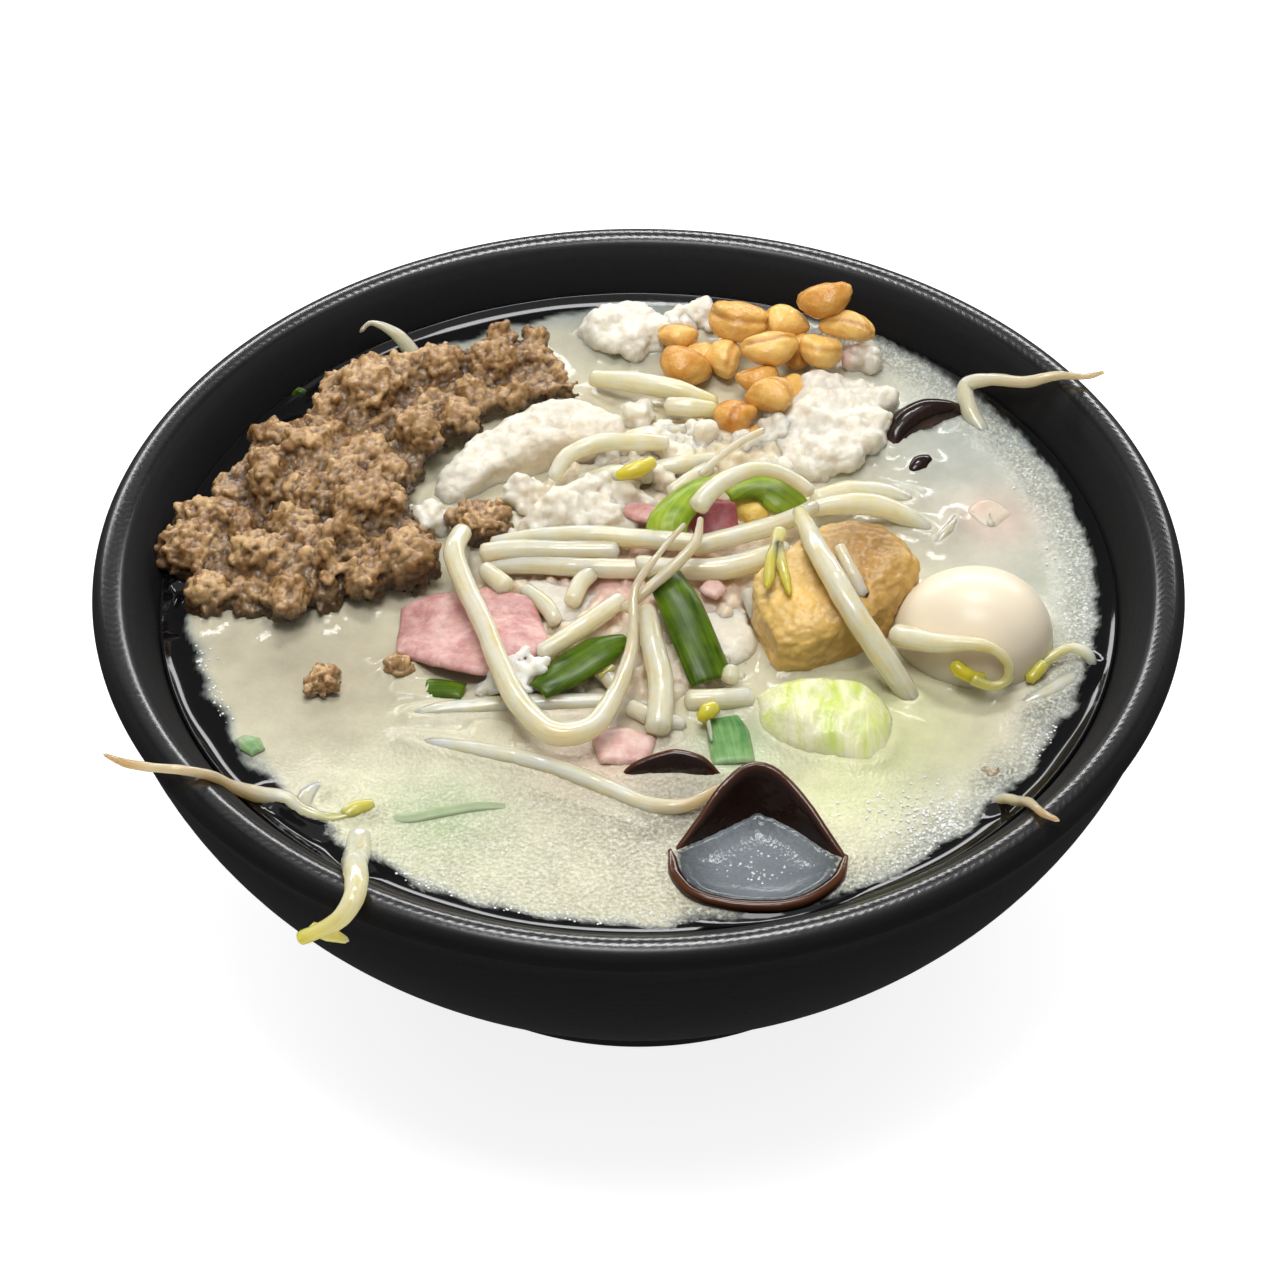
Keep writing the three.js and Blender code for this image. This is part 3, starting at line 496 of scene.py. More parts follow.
def poached_fish():
    """Poached white fish: opaque cream flakes, moist at the surface, with beige painted shade where
    it dips.
    """
    material, tree, skin = new_finish("poached_white_fish")
    place = add(tree, "ShaderNodeTexCoord").outputs["Object"]
    hollow = add(tree, "ShaderNodeAttribute", attribute_name="hollow").outputs["Fac"]
    clouds = add(tree, "ShaderNodeTexNoise", {
        "Vector": place, "Scale": per(7), "Detail": 5, "Roughness": 0.6})
    tint = add(tree, "ShaderNodeAttribute", attribute_name="tint").outputs["Color"]
    mottled = add(tree, "ShaderNodeMapRange", {
        "Value": clouds.outputs[0], "From Min": 0.35, "From Max": 0.65, "To Min": 0.84,
        "To Max": 1.0})
    flesh = add(tree, "ShaderNodeVectorMath", {0: tint, "Scale": mottled.outputs[0]},
                operation="SCALE")
    # painted shade: beige mixed in where the surface lies below its surroundings
    deep = add(tree, "ShaderNodeMapRange", {
        "Value": hollow, "From Min": 0.1 * MM, "From Max": 0.7 * MM, "To Max": 0.22})
    shaded = add(tree, "ShaderNodeMix", {
        0: deep.outputs[0], 6: flesh.outputs[0], 7: linear(0xc6a678)}, data_type="RGBA")
    grain = add(tree, "ShaderNodeTexNoise", {
        "Vector": place, "Scale": per(0.55), "Detail": 4, "Roughness": 0.65})
    bump = add(tree, "ShaderNodeBump", {
        "Height": grain.outputs[0], "Strength": 0.5, "Distance": 0.3 * MM})
    gloss = add(tree, "ShaderNodeMapRange", {
        "Value": clouds.outputs[0], "From Min": 0.35, "From Max": 0.65, "To Min": 0.28,
        "To Max": 0.6})
    settle(skin, Base_Color=veiled(tree, shaded.outputs[2], 2.2),
           Roughness=gloss.outputs[0],
           Normal=bump.outputs[0],
           IOR=1.4, Subsurface_Weight=0.85, Subsurface_Scale=3.6 * MM,
           Subsurface_Radius=(1.0, 0.85, 0.65), Coat_Weight=0.3, Coat_Roughness=0.2)
    return material


def stewed_mince():
    """Minced meat stewed in soy: grainy brown crumbs with painted shade darkening the gaps, wet with
    sauce.
    """
    material, tree, skin = new_finish("stewed_minced_meat")
    place = add(tree, "ShaderNodeTexCoord").outputs["Object"]
    hollow = add(tree, "ShaderNodeAttribute", attribute_name="hollow").outputs["Fac"]
    crumbs = add(tree, "ShaderNodeTexVoronoi", {"Vector": place, "Scale": per(3.2)})
    tone = add(tree, "ShaderNodeSeparateColor", {"Color": crumbs.outputs["Color"]})
    clouds = add(tree, "ShaderNodeTexNoise", {
        "Vector": place, "Scale": per(6), "Detail": 6, "Roughness": 0.68})
    spread = add(tree, "ShaderNodeMath", {0: tone.outputs[0], 1: 0.45, 2: clouds.outputs[0]},
                 operation="MULTIPLY_ADD")
    share = add(tree, "ShaderNodeMapRange", {
        "Value": spread.outputs[0], "From Min": 0.45, "From Max": 0.95})
    meat = add(tree, "ShaderNodeMix", {
        0: share.outputs[0], 6: linear(0x8a6132), 7: linear(0xcda672)}, data_type="RGBA")
    # painted shade: the gaps between clumps mixed towards near-black brown
    pit = add(tree, "ShaderNodeAttribute", attribute_name="pit").outputs["Fac"]
    gap = add(tree, "ShaderNodeMapRange", {
        "Value": pit, "From Min": -0.3, "From Max": 3.2, "To Max": 0.9})
    gapped = add(tree, "ShaderNodeMix", {
        0: gap.outputs[0], 6: meat.outputs[2], 7: linear(0x33200f)}, data_type="RGBA")
    # painted shade: hollows between crumbs mixed towards dark brown
    deep = add(tree, "ShaderNodeMapRange", {
        "Value": hollow, "From Min": -0.05 * MM, "From Max": 0.45 * MM})
    shaded = add(tree, "ShaderNodeMix", {
        0: deep.outputs[0], 6: gapped.outputs[2], 7: linear(0x3c2410)}, data_type="RGBA")
    grain = add(tree, "ShaderNodeTexNoise", {
        "Vector": place, "Scale": per(0.6), "Detail": 4, "Roughness": 0.7})
    bump = add(tree, "ShaderNodeBump", {
        "Height": grain.outputs[0], "Strength": 0.6, "Distance": 0.35 * MM})
    gloss = add(tree, "ShaderNodeMapRange", {
        "Value": clouds.outputs[0], "From Min": 0.4, "From Max": 0.6, "To Min": 0.16,
        "To Max": 0.42})
    settle(skin, Base_Color=veiled(tree, shaded.outputs[2], 1.2, 0.6),
           Roughness=gloss.outputs[0],
           Normal=bump.outputs[0],
           IOR=1.42, Coat_Weight=0.35, Coat_Roughness=0.12)
    return material


def fried_soybean_skin():
    """Deep-fried soybean: oily golden skin, deeper orange in its creases."""
    material, tree, skin = new_finish("deep_fried_soybean")
    place = add(tree, "ShaderNodeTexCoord").outputs["Object"]
    crease = add(tree, "ShaderNodeAttribute", attribute_name="crease").outputs["Fac"]
    clouds = add(tree, "ShaderNodeTexNoise", {
        "Vector": place, "Scale": per(4.5), "Detail": 4, "Roughness": 0.6})
    share = add(tree, "ShaderNodeMapRange", {
        "Value": clouds.outputs[0], "From Min": 0.35, "From Max": 0.65})
    tone = add(tree, "ShaderNodeAttribute", attribute_name="tone").outputs["Fac"]
    both = add(tree, "ShaderNodeMath", {0: share.outputs[0], 1: 0.45, 2: tone},
               operation="MULTIPLY_ADD")
    golden = add(tree, "ShaderNodeMix", {
        0: both.outputs[0], 6: linear(0xc47c22), 7: linear(0xf4c974)}, data_type="RGBA")
    half = add(tree, "ShaderNodeMath", {0: crease, 1: 0.6}, operation="MULTIPLY")
    creased = add(tree, "ShaderNodeMix", {
        0: half.outputs[0], 6: golden.outputs[2], 7: linear(0xa8641f)}, data_type="RGBA")
    grain = add(tree, "ShaderNodeTexNoise", {
        "Vector": place, "Scale": per(0.7), "Detail": 3, "Roughness": 0.6})
    bump = add(tree, "ShaderNodeBump", {
        "Height": grain.outputs[0], "Strength": 0.5, "Distance": 0.35 * MM})
    settle(skin, Base_Color=creased.outputs[2],
           Normal=bump.outputs[0],
           Roughness=0.2, IOR=1.46, Subsurface_Weight=0.15, Subsurface_Scale=1.2 * MM,
           Subsurface_Radius=(1.0, 0.55, 0.25))
    return material


def cooked_ham(name, pale, deep):
    """Cooked pressed ham: moist pink meat, mottled by paler fat and fibres, with small pits."""
    material, tree, skin = new_finish(name)
    place = add(tree, "ShaderNodeTexCoord").outputs["Object"]
    mottle = add(tree, "ShaderNodeTexNoise", {
        "Vector": place, "Scale": per(4), "Detail": 6, "Roughness": 0.7, "Distortion": 0.2})
    share = add(tree, "ShaderNodeMapRange", {
        "Value": mottle.outputs[0], "From Min": 0.36, "From Max": 0.64})
    meat = add(tree, "ShaderNodeMix", {
        0: share.outputs[0], 6: linear(deep), 7: linear(pale)}, data_type="RGBA")
    pits = add(tree, "ShaderNodeTexVoronoi", {"Vector": place, "Scale": per(1.4)})
    relief = add(tree, "ShaderNodeMath", {
        0: pits.outputs["Distance"], 1: 0.5, 2: mottle.outputs[0]}, operation="MULTIPLY_ADD")
    bump = add(tree, "ShaderNodeBump", {
        "Height": relief.outputs[0], "Strength": 0.35, "Distance": 0.4 * MM})
    settle(skin, Base_Color=veiled(tree, meat.outputs[2], 1.6),
           Normal=bump.outputs[0],
           Roughness=0.34, IOR=1.42, Subsurface_Weight=0.35, Subsurface_Scale=1.5 * MM,
           Subsurface_Radius=(1.0, 0.4, 0.3))
    return material


def leek_leaf(name, light, dark, veil=0.75):
    """Blanched leek leaf: waxy green with fine lengthwise veins, which give it its streaks."""
    material, tree, skin = new_finish(name)
    place = add(tree, "ShaderNodeTexCoord")
    ribs = add(tree, "ShaderNodeMapping", {
        "Vector": place.outputs["UV"], "Scale": (1, 0.05, 1)})
    veins = add(tree, "ShaderNodeTexNoise", {
        "Vector": ribs.outputs[0], "Scale": per(0.75), "Detail": 3, "Roughness": 0.6})
    clouds = add(tree, "ShaderNodeTexNoise", {
        "Vector": place.outputs["Object"], "Scale": per(5), "Detail": 4})
    both = add(tree, "ShaderNodeMath", {0: veins.outputs[0], 1: clouds.outputs[0]},
               operation="ADD")
    share = add(tree, "ShaderNodeMapRange", {
        "Value": both.outputs[0], "From Min": 0.75, "From Max": 1.25})
    green = add(tree, "ShaderNodeMix", {
        0: share.outputs[0], 6: linear(dark), 7: linear(light)}, data_type="RGBA")
    bump = add(tree, "ShaderNodeBump", {
        "Height": veins.outputs[0], "Strength": 0.2, "Distance": 0.12 * MM})
    settle(skin, Base_Color=veiled(tree, green.outputs[2], 1.4, veil),
           Normal=bump.outputs[0],
           Roughness=0.3, IOR=1.42, Specular_IOR_Level=0.3, Subsurface_Weight=0.12,
           Subsurface_Scale=1 * MM, Subsurface_Radius=(0.7, 1.0, 0.2))
    return material


def fried_tofu_skin():
    """Fried tofu puff: golden blistered skin, browner on its edges, shiny with oil."""
    material, tree, skin = new_finish("fried_tofu_skin")
    place = add(tree, "ShaderNodeTexCoord").outputs["Object"]
    hollow = add(tree, "ShaderNodeAttribute", attribute_name="hollow").outputs["Fac"]
    clouds = add(tree, "ShaderNodeTexNoise", {
        "Vector": place, "Scale": per(8), "Detail": 5, "Roughness": 0.62})
    share = add(tree, "ShaderNodeMapRange", {
        "Value": clouds.outputs[0], "From Min": 0.35, "From Max": 0.65})
    tint = add(tree, "ShaderNodeAttribute", attribute_name="tint").outputs["Color"]
    brightness = add(tree, "ShaderNodeMath", {0: share.outputs[0], 1: 0.3, 2: 0.78},
                     operation="MULTIPLY_ADD")
    golden = add(tree, "ShaderNodeVectorMath", {0: tint, "Scale": brightness.outputs[0]},
                 operation="SCALE")
    raised = add(tree, "ShaderNodeMapRange", {
        "Value": hollow, "From Min": 0.02 * MM, "From Max": -0.2 * MM, "To Max": 0.3})
    browned = add(tree, "ShaderNodeMix", {
        0: raised.outputs[0], 6: golden.outputs[0], 7: linear(0xdcae58)}, data_type="RGBA")
    blisters = add(tree, "ShaderNodeTexVoronoi", {
        "Vector": place, "Scale": per(1.3), "Smoothness": 0.6}, feature="SMOOTH_F1")
    bump = add(tree, "ShaderNodeBump", {
        "Height": blisters.outputs["Distance"], "Strength": 0.5, "Distance": 0.4 * MM})
    settle(skin, Base_Color=veiled(tree, browned.outputs[2], 1.2, 0.5),
           Normal=bump.outputs[0],
           Roughness=0.36, IOR=1.46, Subsurface_Weight=0.15, Subsurface_Scale=1.5 * MM,
           Subsurface_Radius=(1.0, 0.8, 0.4))
    return material


def boiled_egg_white():
    """Boiled quail egg: smooth ivory egg white with a soft sheen, veiled where the broth
    closes over it."""
    material, tree, skin = new_finish("boiled_egg_white")
    place = add(tree, "ShaderNodeTexCoord").outputs["Object"]
    parts = add(tree, "ShaderNodeSeparateXYZ", {"Vector": place})
    clouds = add(tree, "ShaderNodeTexNoise", {
        "Vector": place, "Scale": per(14), "Detail": 2})
    white = add(tree, "ShaderNodeMix", {
        0: clouds.outputs[0], 6: linear(0xe9dabd), 7: linear(0xf1e6d0)}, data_type="RGBA")
    veil = add(tree, "ShaderNodeMapRange", {
        "Value": parts.outputs["Z"], "From Min": (BROTH_LEVEL + 9) * MM,
        "From Max": (BROTH_LEVEL + 1.6) * MM, "To Max": 0.95})
    dipped = add(tree, "ShaderNodeMix", {
        0: veil.outputs[0], 6: white.outputs[2], 7: linear(BROTH_BASE)}, data_type="RGBA")
    settle(skin, Base_Color=dipped.outputs[2],
           Roughness=0.3, IOR=1.38, Subsurface_Weight=0.6, Subsurface_Scale=3 * MM,
           Subsurface_Radius=(1.0, 0.88, 0.72))
    return material


def blanched_cabbage():
    """Blanched cabbage: thin wet yellow-green leaf with paler ribs that light shines through."""
    material, tree, skin = new_finish("blanched_cabbage_leaf")
    place = add(tree, "ShaderNodeTexCoord")
    ribs = add(tree, "ShaderNodeMapping", {
        "Vector": place.outputs["UV"], "Scale": (1, 0.3, 1)})
    veins = add(tree, "ShaderNodeTexNoise", {
        "Vector": ribs.outputs[0], "Scale": per(3.4), "Detail": 4, "Roughness": 0.6,
        "Distortion": 0.6})
    share = add(tree, "ShaderNodeMapRange", {
        "Value": veins.outputs[0], "From Min": 0.36, "From Max": 0.62})
    leaf_colour = add(tree, "ShaderNodeMix", {
        0: share.outputs[0], 6: linear(0xd3e07c), 7: linear(0xf3f2cc)}, data_type="RGBA")
    fine = add(tree, "ShaderNodeTexNoise", {
        "Vector": place.outputs["Object"], "Scale": per(1.6), "Detail": 4})
    relief = add(tree, "ShaderNodeMath", {0: veins.outputs[0], 1: 2.0, 2: fine.outputs[0]},
                 operation="MULTIPLY_ADD")
    bump = add(tree, "ShaderNodeBump", {
        "Height": relief.outputs[0], "Strength": 0.4, "Distance": 0.6 * MM})
    settle(skin, Base_Color=veiled(tree, leaf_colour.outputs[2], 3.6, 0.75),
           Normal=bump.outputs[0],
           Roughness=0.22, IOR=1.4, Subsurface_Weight=0.5, Subsurface_Scale=2 * MM,
           Subsurface_Radius=(0.8, 1.0, 0.3))
    return material


def soaked_wood_ear():
    """Soaked wood ear fungus: smooth brown-black jelly, glossy when wet, amber at thin edges."""
    material, tree, skin = new_finish("soaked_wood_ear")
    place = add(tree, "ShaderNodeTexCoord")
    edge = add(tree, "ShaderNodeAttribute", attribute_name="edge").outputs["Fac"]
    clouds = add(tree, "ShaderNodeTexNoise", {
        "Vector": place.outputs["Object"], "Scale": per(5), "Detail": 4, "Roughness": 0.6})
    dark = add(tree, "ShaderNodeMix", {
        0: clouds.outputs[0], 6: linear(0x160e0b), 7: linear(0x2e1b14)}, data_type="RGBA")
    thin = add(tree, "ShaderNodeMapRange", {
        "Value": edge, "From Min": 0.75, "From Max": 1.0, "To Max": 0.8})
    amber = add(tree, "ShaderNodeMix", {
        0: thin.outputs[0], 6: dark.outputs[2], 7: linear(0x5a321a)}, data_type="RGBA")
    ripple = add(tree, "ShaderNodeTexNoise", {
        "Vector": place.outputs["Object"], "Scale": per(2.4), "Detail": 2})
    bump = add(tree, "ShaderNodeBump", {
        "Height": ripple.outputs[0], "Strength": 0.2, "Distance": 0.5 * MM})
    settle(skin, Base_Color=amber.outputs[2],
           Normal=bump.outputs[0],
           Roughness=0.14, IOR=1.42, Subsurface_Weight=0.04, Subsurface_Scale=1 * MM,
           Subsurface_Radius=(1.0, 0.45, 0.25))
    return material


def broth_bubble():
    """Bubbles of froth: thin wet domes, near white with a sharp glint."""
    material, tree, skin = new_finish("broth_bubble")
    place = add(tree, "ShaderNodeTexCoord").outputs["Object"]
    tone = add(tree, "ShaderNodeTexNoise", {"Vector": place, "Scale": per(2)})
    shade = add(tree, "ShaderNodeMix", {
        0: tone.outputs[0], 6: linear(0xdedfd8), 7: linear(0xffffff)}, data_type="RGBA")
    settle(skin, Base_Color=shade.outputs[2],
           Roughness=0.12, IOR=1.34, Transmission_Weight=0.08)
    return material


# ---- Bowl ----
def bezier(points, pieces):
    """Points on a curve through the first and last of four points."""
    t = np.linspace(0, 1, pieces + 1)[:, None]
    a, b, c, d = np.array(points, float)
    return a * (1 - t) ** 3 + 3 * b * (1 - t) ** 2 * t + 3 * c * (1 - t) * t ** 2 + d * t ** 3


OUTER_WALL = bezier([[BODY_START, FOOT_HEIGHT], [68.6, 17.7], [95.9, 34.6], [103.5, 71.4]], 30)
INNER_WALL = bezier([[97.6, 75.2], [83, 60], [94, 9], [0, FLOOR_HEIGHT]], 40)
LIP_CENTRE = (BOWL_RADIUS - LIP_WIDTH / 2, BOWL_HEIGHT - LIP_DEPTH / 2)


def lip_arc():
    """The rolled lip's section, from outside over the top to inside."""
    turns = np.linspace(-0.1, 0.78, 18) * math.pi
    return np.stack([LIP_CENTRE[0] + LIP_WIDTH / 2 * np.cos(turns),
                     LIP_CENTRE[1] + LIP_DEPTH / 2 * np.sin(turns)], 1)


def revolved(name, profile, sides, crest):
    """A closed shape turned about Z. The profile starts and ends on the axis; UV is in metres,
    round the lip and along the profile from its crest."""
    profile = np.asarray(profile, float) * MM
    run = run_along(profile)
    run -= run[crest]
    angles = np.arange(sides + 1) / sides * 2 * math.pi
    rings = profile[1:-1]
    points = np.stack([np.outer(rings[:, 0], np.cos(angles)),
                       np.outer(rings[:, 0], np.sin(angles)),
                       np.repeat(rings[:, 1:], sides + 1, 1)], -1).reshape(-1, 3)
    uv = np.stack(np.broadcast_arrays(angles[None] * BOWL_RADIUS * MM, run[1:-1, None]), -1)
    first, last = len(points), len(points) + 1
    points = np.vstack([points, [0, 0, profile[0, 1]], [0, 0, profile[-1, 1]]])
    uv = np.vstack([uv.reshape(-1, 2), [0, run[0]], [0, run[-1]]])
    row = sides + 1
    faces = [(i * row + j, i * row + j + 1, (i + 1) * row + j + 1, (i + 1) * row + j)
             for i in range(len(rings) - 1) for j in range(sides)]
    faces += [(first, j + 1, j) for j in range(sides)]
    end = (len(rings) - 1) * row
    faces += [(last, end + j, end + j + 1) for j in range(sides)]
    return merged(mesh_of(name, points, faces, uv=uv))


def make_bowl():
    """The bowl: foot, outer wall, rolled lip, inner wall and floor in one shell."""
    foot = [[0, 0], [FOOT_RADIUS - 4, 0], [FOOT_RADIUS - FOOT_EDGE, 0],
            [FOOT_RADIUS - FOOT_EDGE * 0.3, FOOT_EDGE * 0.3], [FOOT_RADIUS, FOOT_EDGE],
            [FOOT_RADIUS, FOOT_HEIGHT - 0.6], [FOOT_RADIUS + 0.5, FOOT_HEIGHT - 0.1]]
    arc = lip_arc()
    profile = np.vstack([foot, OUTER_WALL, arc, INNER_WALL])
    crest = len(foot) + len(OUTER_WALL) + int(np.argmax(arc[:, 1]))
    mesh = revolved("bowl_shell", profile, BOWL_SIDES, crest)
    piece("bowl_shell", mesh, moulded_black_melamine(), ["bowl"])


# ---- Bean sprouts ----
SPROUTS = {
    "sprout_left_rim": [
        [-98, -55.5, 11.8, 0.7, -1], [-93.7, -58.4, 12.4, 1.6, -0.9], [-89, -59.9, 12.8, 1.8, -0.6],
        [-83.1, -60.7, 12.8, 1.8, -0.6], [-77.9, -59.6, 10.2, 2, -0.6], [-74.6, -57.9, 6, 2.3, -0.5],
        [-70.5, -56.6, 2.6, 3.1, -0.3], [-65, -56.6, 0.8, 3.7, 0.1], [-61.6, -59.6, 0.5, 3.7, 0.2],
        [-56, -61.6, 0.8, 2.7, 0.6], [-52, -60.4, 1.4, 2, 0.7], [-49.1, -58.4, 1.2, 2.2, 0.6]],
    "sprout_front_rim": [
        [-50.9, -65, 0.4, 4.7], [-51.1, -70, 1.6, 4.9], [-51, -79.3, 7.8, 4.9],
        [-50.6, -84.2, 11.6, 4.7], [-50, -89.4, 13.6, 4.4, 0.15], [-50.4, -94.2, 13.8, 3.9, 0.2],
        [-52.6, -96.6, 11.6, 3.3, 0.4], [-56.4, -96.2, 8, 2.7, 0.6], [-60.2, -95, 4.6, 2.6, 0.9]],
    "sprout_right_rim": [
        [70, 48, 0, 3.2, 0.1], [67, 53, 2.6, 3.8], [66.5, 58, 5, 3.4], [71, 57, 7.4, 2.6, -0.2],
        [78, 52, 11, 2.4, -0.4], [84, 52, 12.6, 2, -0.5], [90, 53, 11.6, 1.2, -0.7],
        [94, 57, 9.4, 0.7, -1]],
    "sprout_right_low": [
        [64.8, -57, 0.6, 1.6, -0.1], [67.1, -57.5, 2.2, 2, -0.3], [69.3, -61.3, 5.5, 2, -0.5],
        [71.2, -66.6, 10.2, 1.8, -0.6], [73, -70.9, 12, 1.4, -0.8], [75.9, -72.8, 11.9, 0.8, -1]],
    "sprout_back_left": [
        [-46, 71, 2, 3.7], [-49, 72.5, 6, 2.8], [-52.5, 73.5, 8, 1.7, -0.3],
        [-55, 73.5, 8.8, 1.1, -0.5], [-57, 71.5, 8, 0.8, -0.7]],
    "sprout_over_tofu": [
        [31, 11, 12.6, 2.7, 0.4], [32, 6, 14, 3.4, 0.2], [33.9, -2.9, 15.8, 4.3],
        [37.4, -13.4, 16.2, 4.8], [41.4, -20.4, 13, 4.9], [46, -25, 7.8, 4.9], [50, -28, 2.6, 4.4],
        [52.3, -30, -1, 3.6]],
    "sprout_loop": [
        [-34, 9, 9.5, 3.9], [-35.5, 1, 10.6, 4.2], [-33, -8, 10, 4.2], [-29, -19, 9.6, 4.2],
        [-26, -29, 9, 4.4], [-22, -38, 7.6, 4.6], [-15.5, -44.5, 6.4, 4.6], [-9, -43, 6.4, 4.4],
        [-4.5, -36, 8, 3.5], [-1.5, -27, 10.4, 2.5, -0.2], [-1, -20, 11.6, 2, -0.3],
        [-0.5, -12, 13.4, 1.7, -0.4], [4, -5, 16, 1.3, -0.4], [9, 2, 17.4, 1, -0.5]],
    "sprout_root_over": [
        [-3, -14, 9.2, 1.9, -0.3], [2.5, -10, 12, 2.3, -0.3], [7, -6.5, 14.2, 2.3, -0.3],
        [11, -1, 15.4, 2, -0.3], [12, 5, 16.4, 1.2, -0.5]],
    "sprout_arch": [
        [11, 9, 14.4, 4.3], [14, 13, 16, 3.9], [19, 16.5, 17, 3.5], [24, 19, 16.4, 3],
        [29, 19, 14.6, 2.9, -0.1], [34, 16.5, 12.2, 2.7, -0.2]],
    "sprout_band_upper": [
        [9.9, 3.5, 9.6, 3.9], [18.7, 6.1, 10.4, 3.9], [25.1, 8.5, 10.6, 3.9],
        [30.4, 12.2, 10, 3.5], [34.6, 17.2, 8.6, 2.7]],
    "sprout_band_lower": [
        [-1, 1, 7.6, 3.9], [6, -0.6, 8, 4.2], [15, -1.4, 8.6, 4.6], [23, 1, 8.8, 4.6],
        [29, 5, 8.4, 3.9]],
    "sprout_band_left": [
        [-31, 6.5, 5.4, 3.9, -0.1], [-24, 6.5, 6.4, 4.3], [-15, 5.5, 7, 4.3], [-8, 5, 7.4, 4.3],
        [-3.6, 4.6, 7.8, 3.8]],
    "sprout_stub_tofu": [[38.2, -3, 16, 2.5, -0.2], [40.6, -9, 14.6, 2.7, -0.1],
                         [42.8, -12.6, 11.4, 2.7]],
    "sprout_on_egg": [
        [48.6, -18, 6.9, 4.8], [52.6, -22.4, 9.5, 4.4], [57, -25, 11, 3.6],
        [61.9, -26.2, 12.1, 2.8, 0.1], [66.2, -26.6, 11.5, 2.2, 0.3], [69.7, -27.8, 8.2, 1.9, 0.4],
        [69.3, -29.4, 5.6, 1.9, 0.5], [66.4, -30.2, 4.9, 2, 0.6], [62.4, -29.6, 6.6, 2.6, 0.8]],
    "sprout_edge_right": [
        [75.4, -23.6, 1.8, 2.3, 1], [78.6, -20.4, 3.2, 2, 0.5], [82.5, -18.3, 3.6, 2, 0.2],
        [85.6, -19.2, 2.6, 2.3, 0.1], [86.6, -20.7, 0.6, 2, 0.1]],
    "sprout_root_back": [
        [12, 25, 9.6, 1.4, -0.2], [16, 30, 10, 1.5, -0.2], [20, 34.5, 10, 1.6, -0.2],
        [25, 40, 8.6, 1.4, -0.3]],
    "sprout_on_fish": [
        [6, 35, 9.4, 3], [0, 33.5, 11, 3.6], [-8, 32, 12, 3.6], [-14, 29, 11, 3.4],
        [-17, 24, 9.4, 2.8]],
    "sprout_back": [
        [-10, 63, 3, 3.3], [0, 58.5, 5.4, 4.5], [8, 56, 5.4, 4.5, 0.1], [16, 53.5, 4, 2.8, 0.5]],
    "sprout_stub_front": [
        [1.5, -11, 7.6, 3.6], [2.6, -20, 6.6, 4.6], [4.2, -29, 5, 4.9], [3.6, -41, 3, 5]],
    "sprout_diagonal": [[-19, -22, 5.2, 3.4], [-10.5, -16, 7, 3.8], [-3, -8, 7, 3.6]],
    "sprout_short": [[-13, -9, 6.4, 3.4], [-11, -3, 6.6, 3.5], [-8.6, 0.6, 6, 3.4]],
    "sprout_flared": [[-30, 3, 5, 3.2], [-27.4, -1, 5.6, 4], [-25, -4, 5.4, 4.3]],
    "sprout_wet_upper": [
        [-44, -34, -0.3, 2.6], [-38, -32.8, 0.4, 3.8], [-29, -32, 1, 4], [-18, -31.4, 1.4, 4],
        [-5, -31, 1.4, 3.6]],
    "sprout_wet_long": [
        [-45, -40, -0.5, 1.9], [-37, -42, 0.4, 3.4], [-26, -45, 1, 4.1], [-15, -49, 1.2, 4.1],
        [-6, -54, 1.2, 4.1], [2, -58.6, 1.4, 3.7, -0.1], [9, -59.4, 2.6, 2.5, -0.5],
        [15.4, -54.6, 2.6, 1.5, -0.8]],
    "sprout_short_right": [[8.6, -31.6, 2.4, 4.4, 0.1], [14.2, -31.4, 2.4, 4.4],
                           [21.8, -30, 1.6, 4.4]],
}


def stem_tree():
    """A stem along a line: its thickness and tint come from the line's own points."""
    tree, given = shape_tree(
        "stem_along_a_line", sides=STEM_SIDES, unevenness=0.5 * MM, lump_size=5 * MM, shift=0.0,
        finish=None)
    line = add(tree, "GeometryNodeMeshToCurve", {"Mesh": given["shape"]})
    ring = add(tree, "GeometryNodeCurvePrimitiveCircle", {
        "Resolution": given["sides"], "Radius": 0.5})
    spot = add(tree, "GeometryNodeInputPosition").outputs[0]
    section = add(tree, "GeometryNodeStoreNamedAttribute", {
        "Geometry": ring.outputs[0], "Name": "section"}, data_type="FLOAT_VECTOR", domain="POINT")
    tree.links.new(spot, section.inputs["Value"])
    thick = add(tree, "GeometryNodeInputNamedAttribute", {"Name": "thickness"})
    stem = add(tree, "GeometryNodeCurveToMesh", {
        "Curve": line.outputs[0], "Profile Curve": section.outputs[0],
        "Scale": thick.outputs["Attribute"], "Fill Caps": True})
    fineness = add(tree, "ShaderNodeMath", {0: 1.0, 1: given["lump size"]}, operation="DIVIDE")
    lumps = add(tree, "ShaderNodeTexNoise", {
        "Scale": fineness.outputs[0], "W": given["shift"], "Detail": 2.0},
        noise_dimensions="4D")
    centred = add(tree, "ShaderNodeMath", {0: lumps.outputs[0], 1: 0.5}, operation="SUBTRACT")
    reach = add(tree, "ShaderNodeMath", {0: centred.outputs[0], 1: given["unevenness"]},
                operation="MULTIPLY")
    out = add(tree, "GeometryNodeInputNormal")
    offset = add(tree, "ShaderNodeVectorMath", {0: out.outputs[0], "Scale": reach.outputs[0]},
                 operation="SCALE")
    moved = add(tree, "GeometryNodeSetPosition", {
        "Geometry": stem.outputs[0], "Offset": offset.outputs[0]})
    return end_tree(tree, moved.outputs[0], given["finish"])


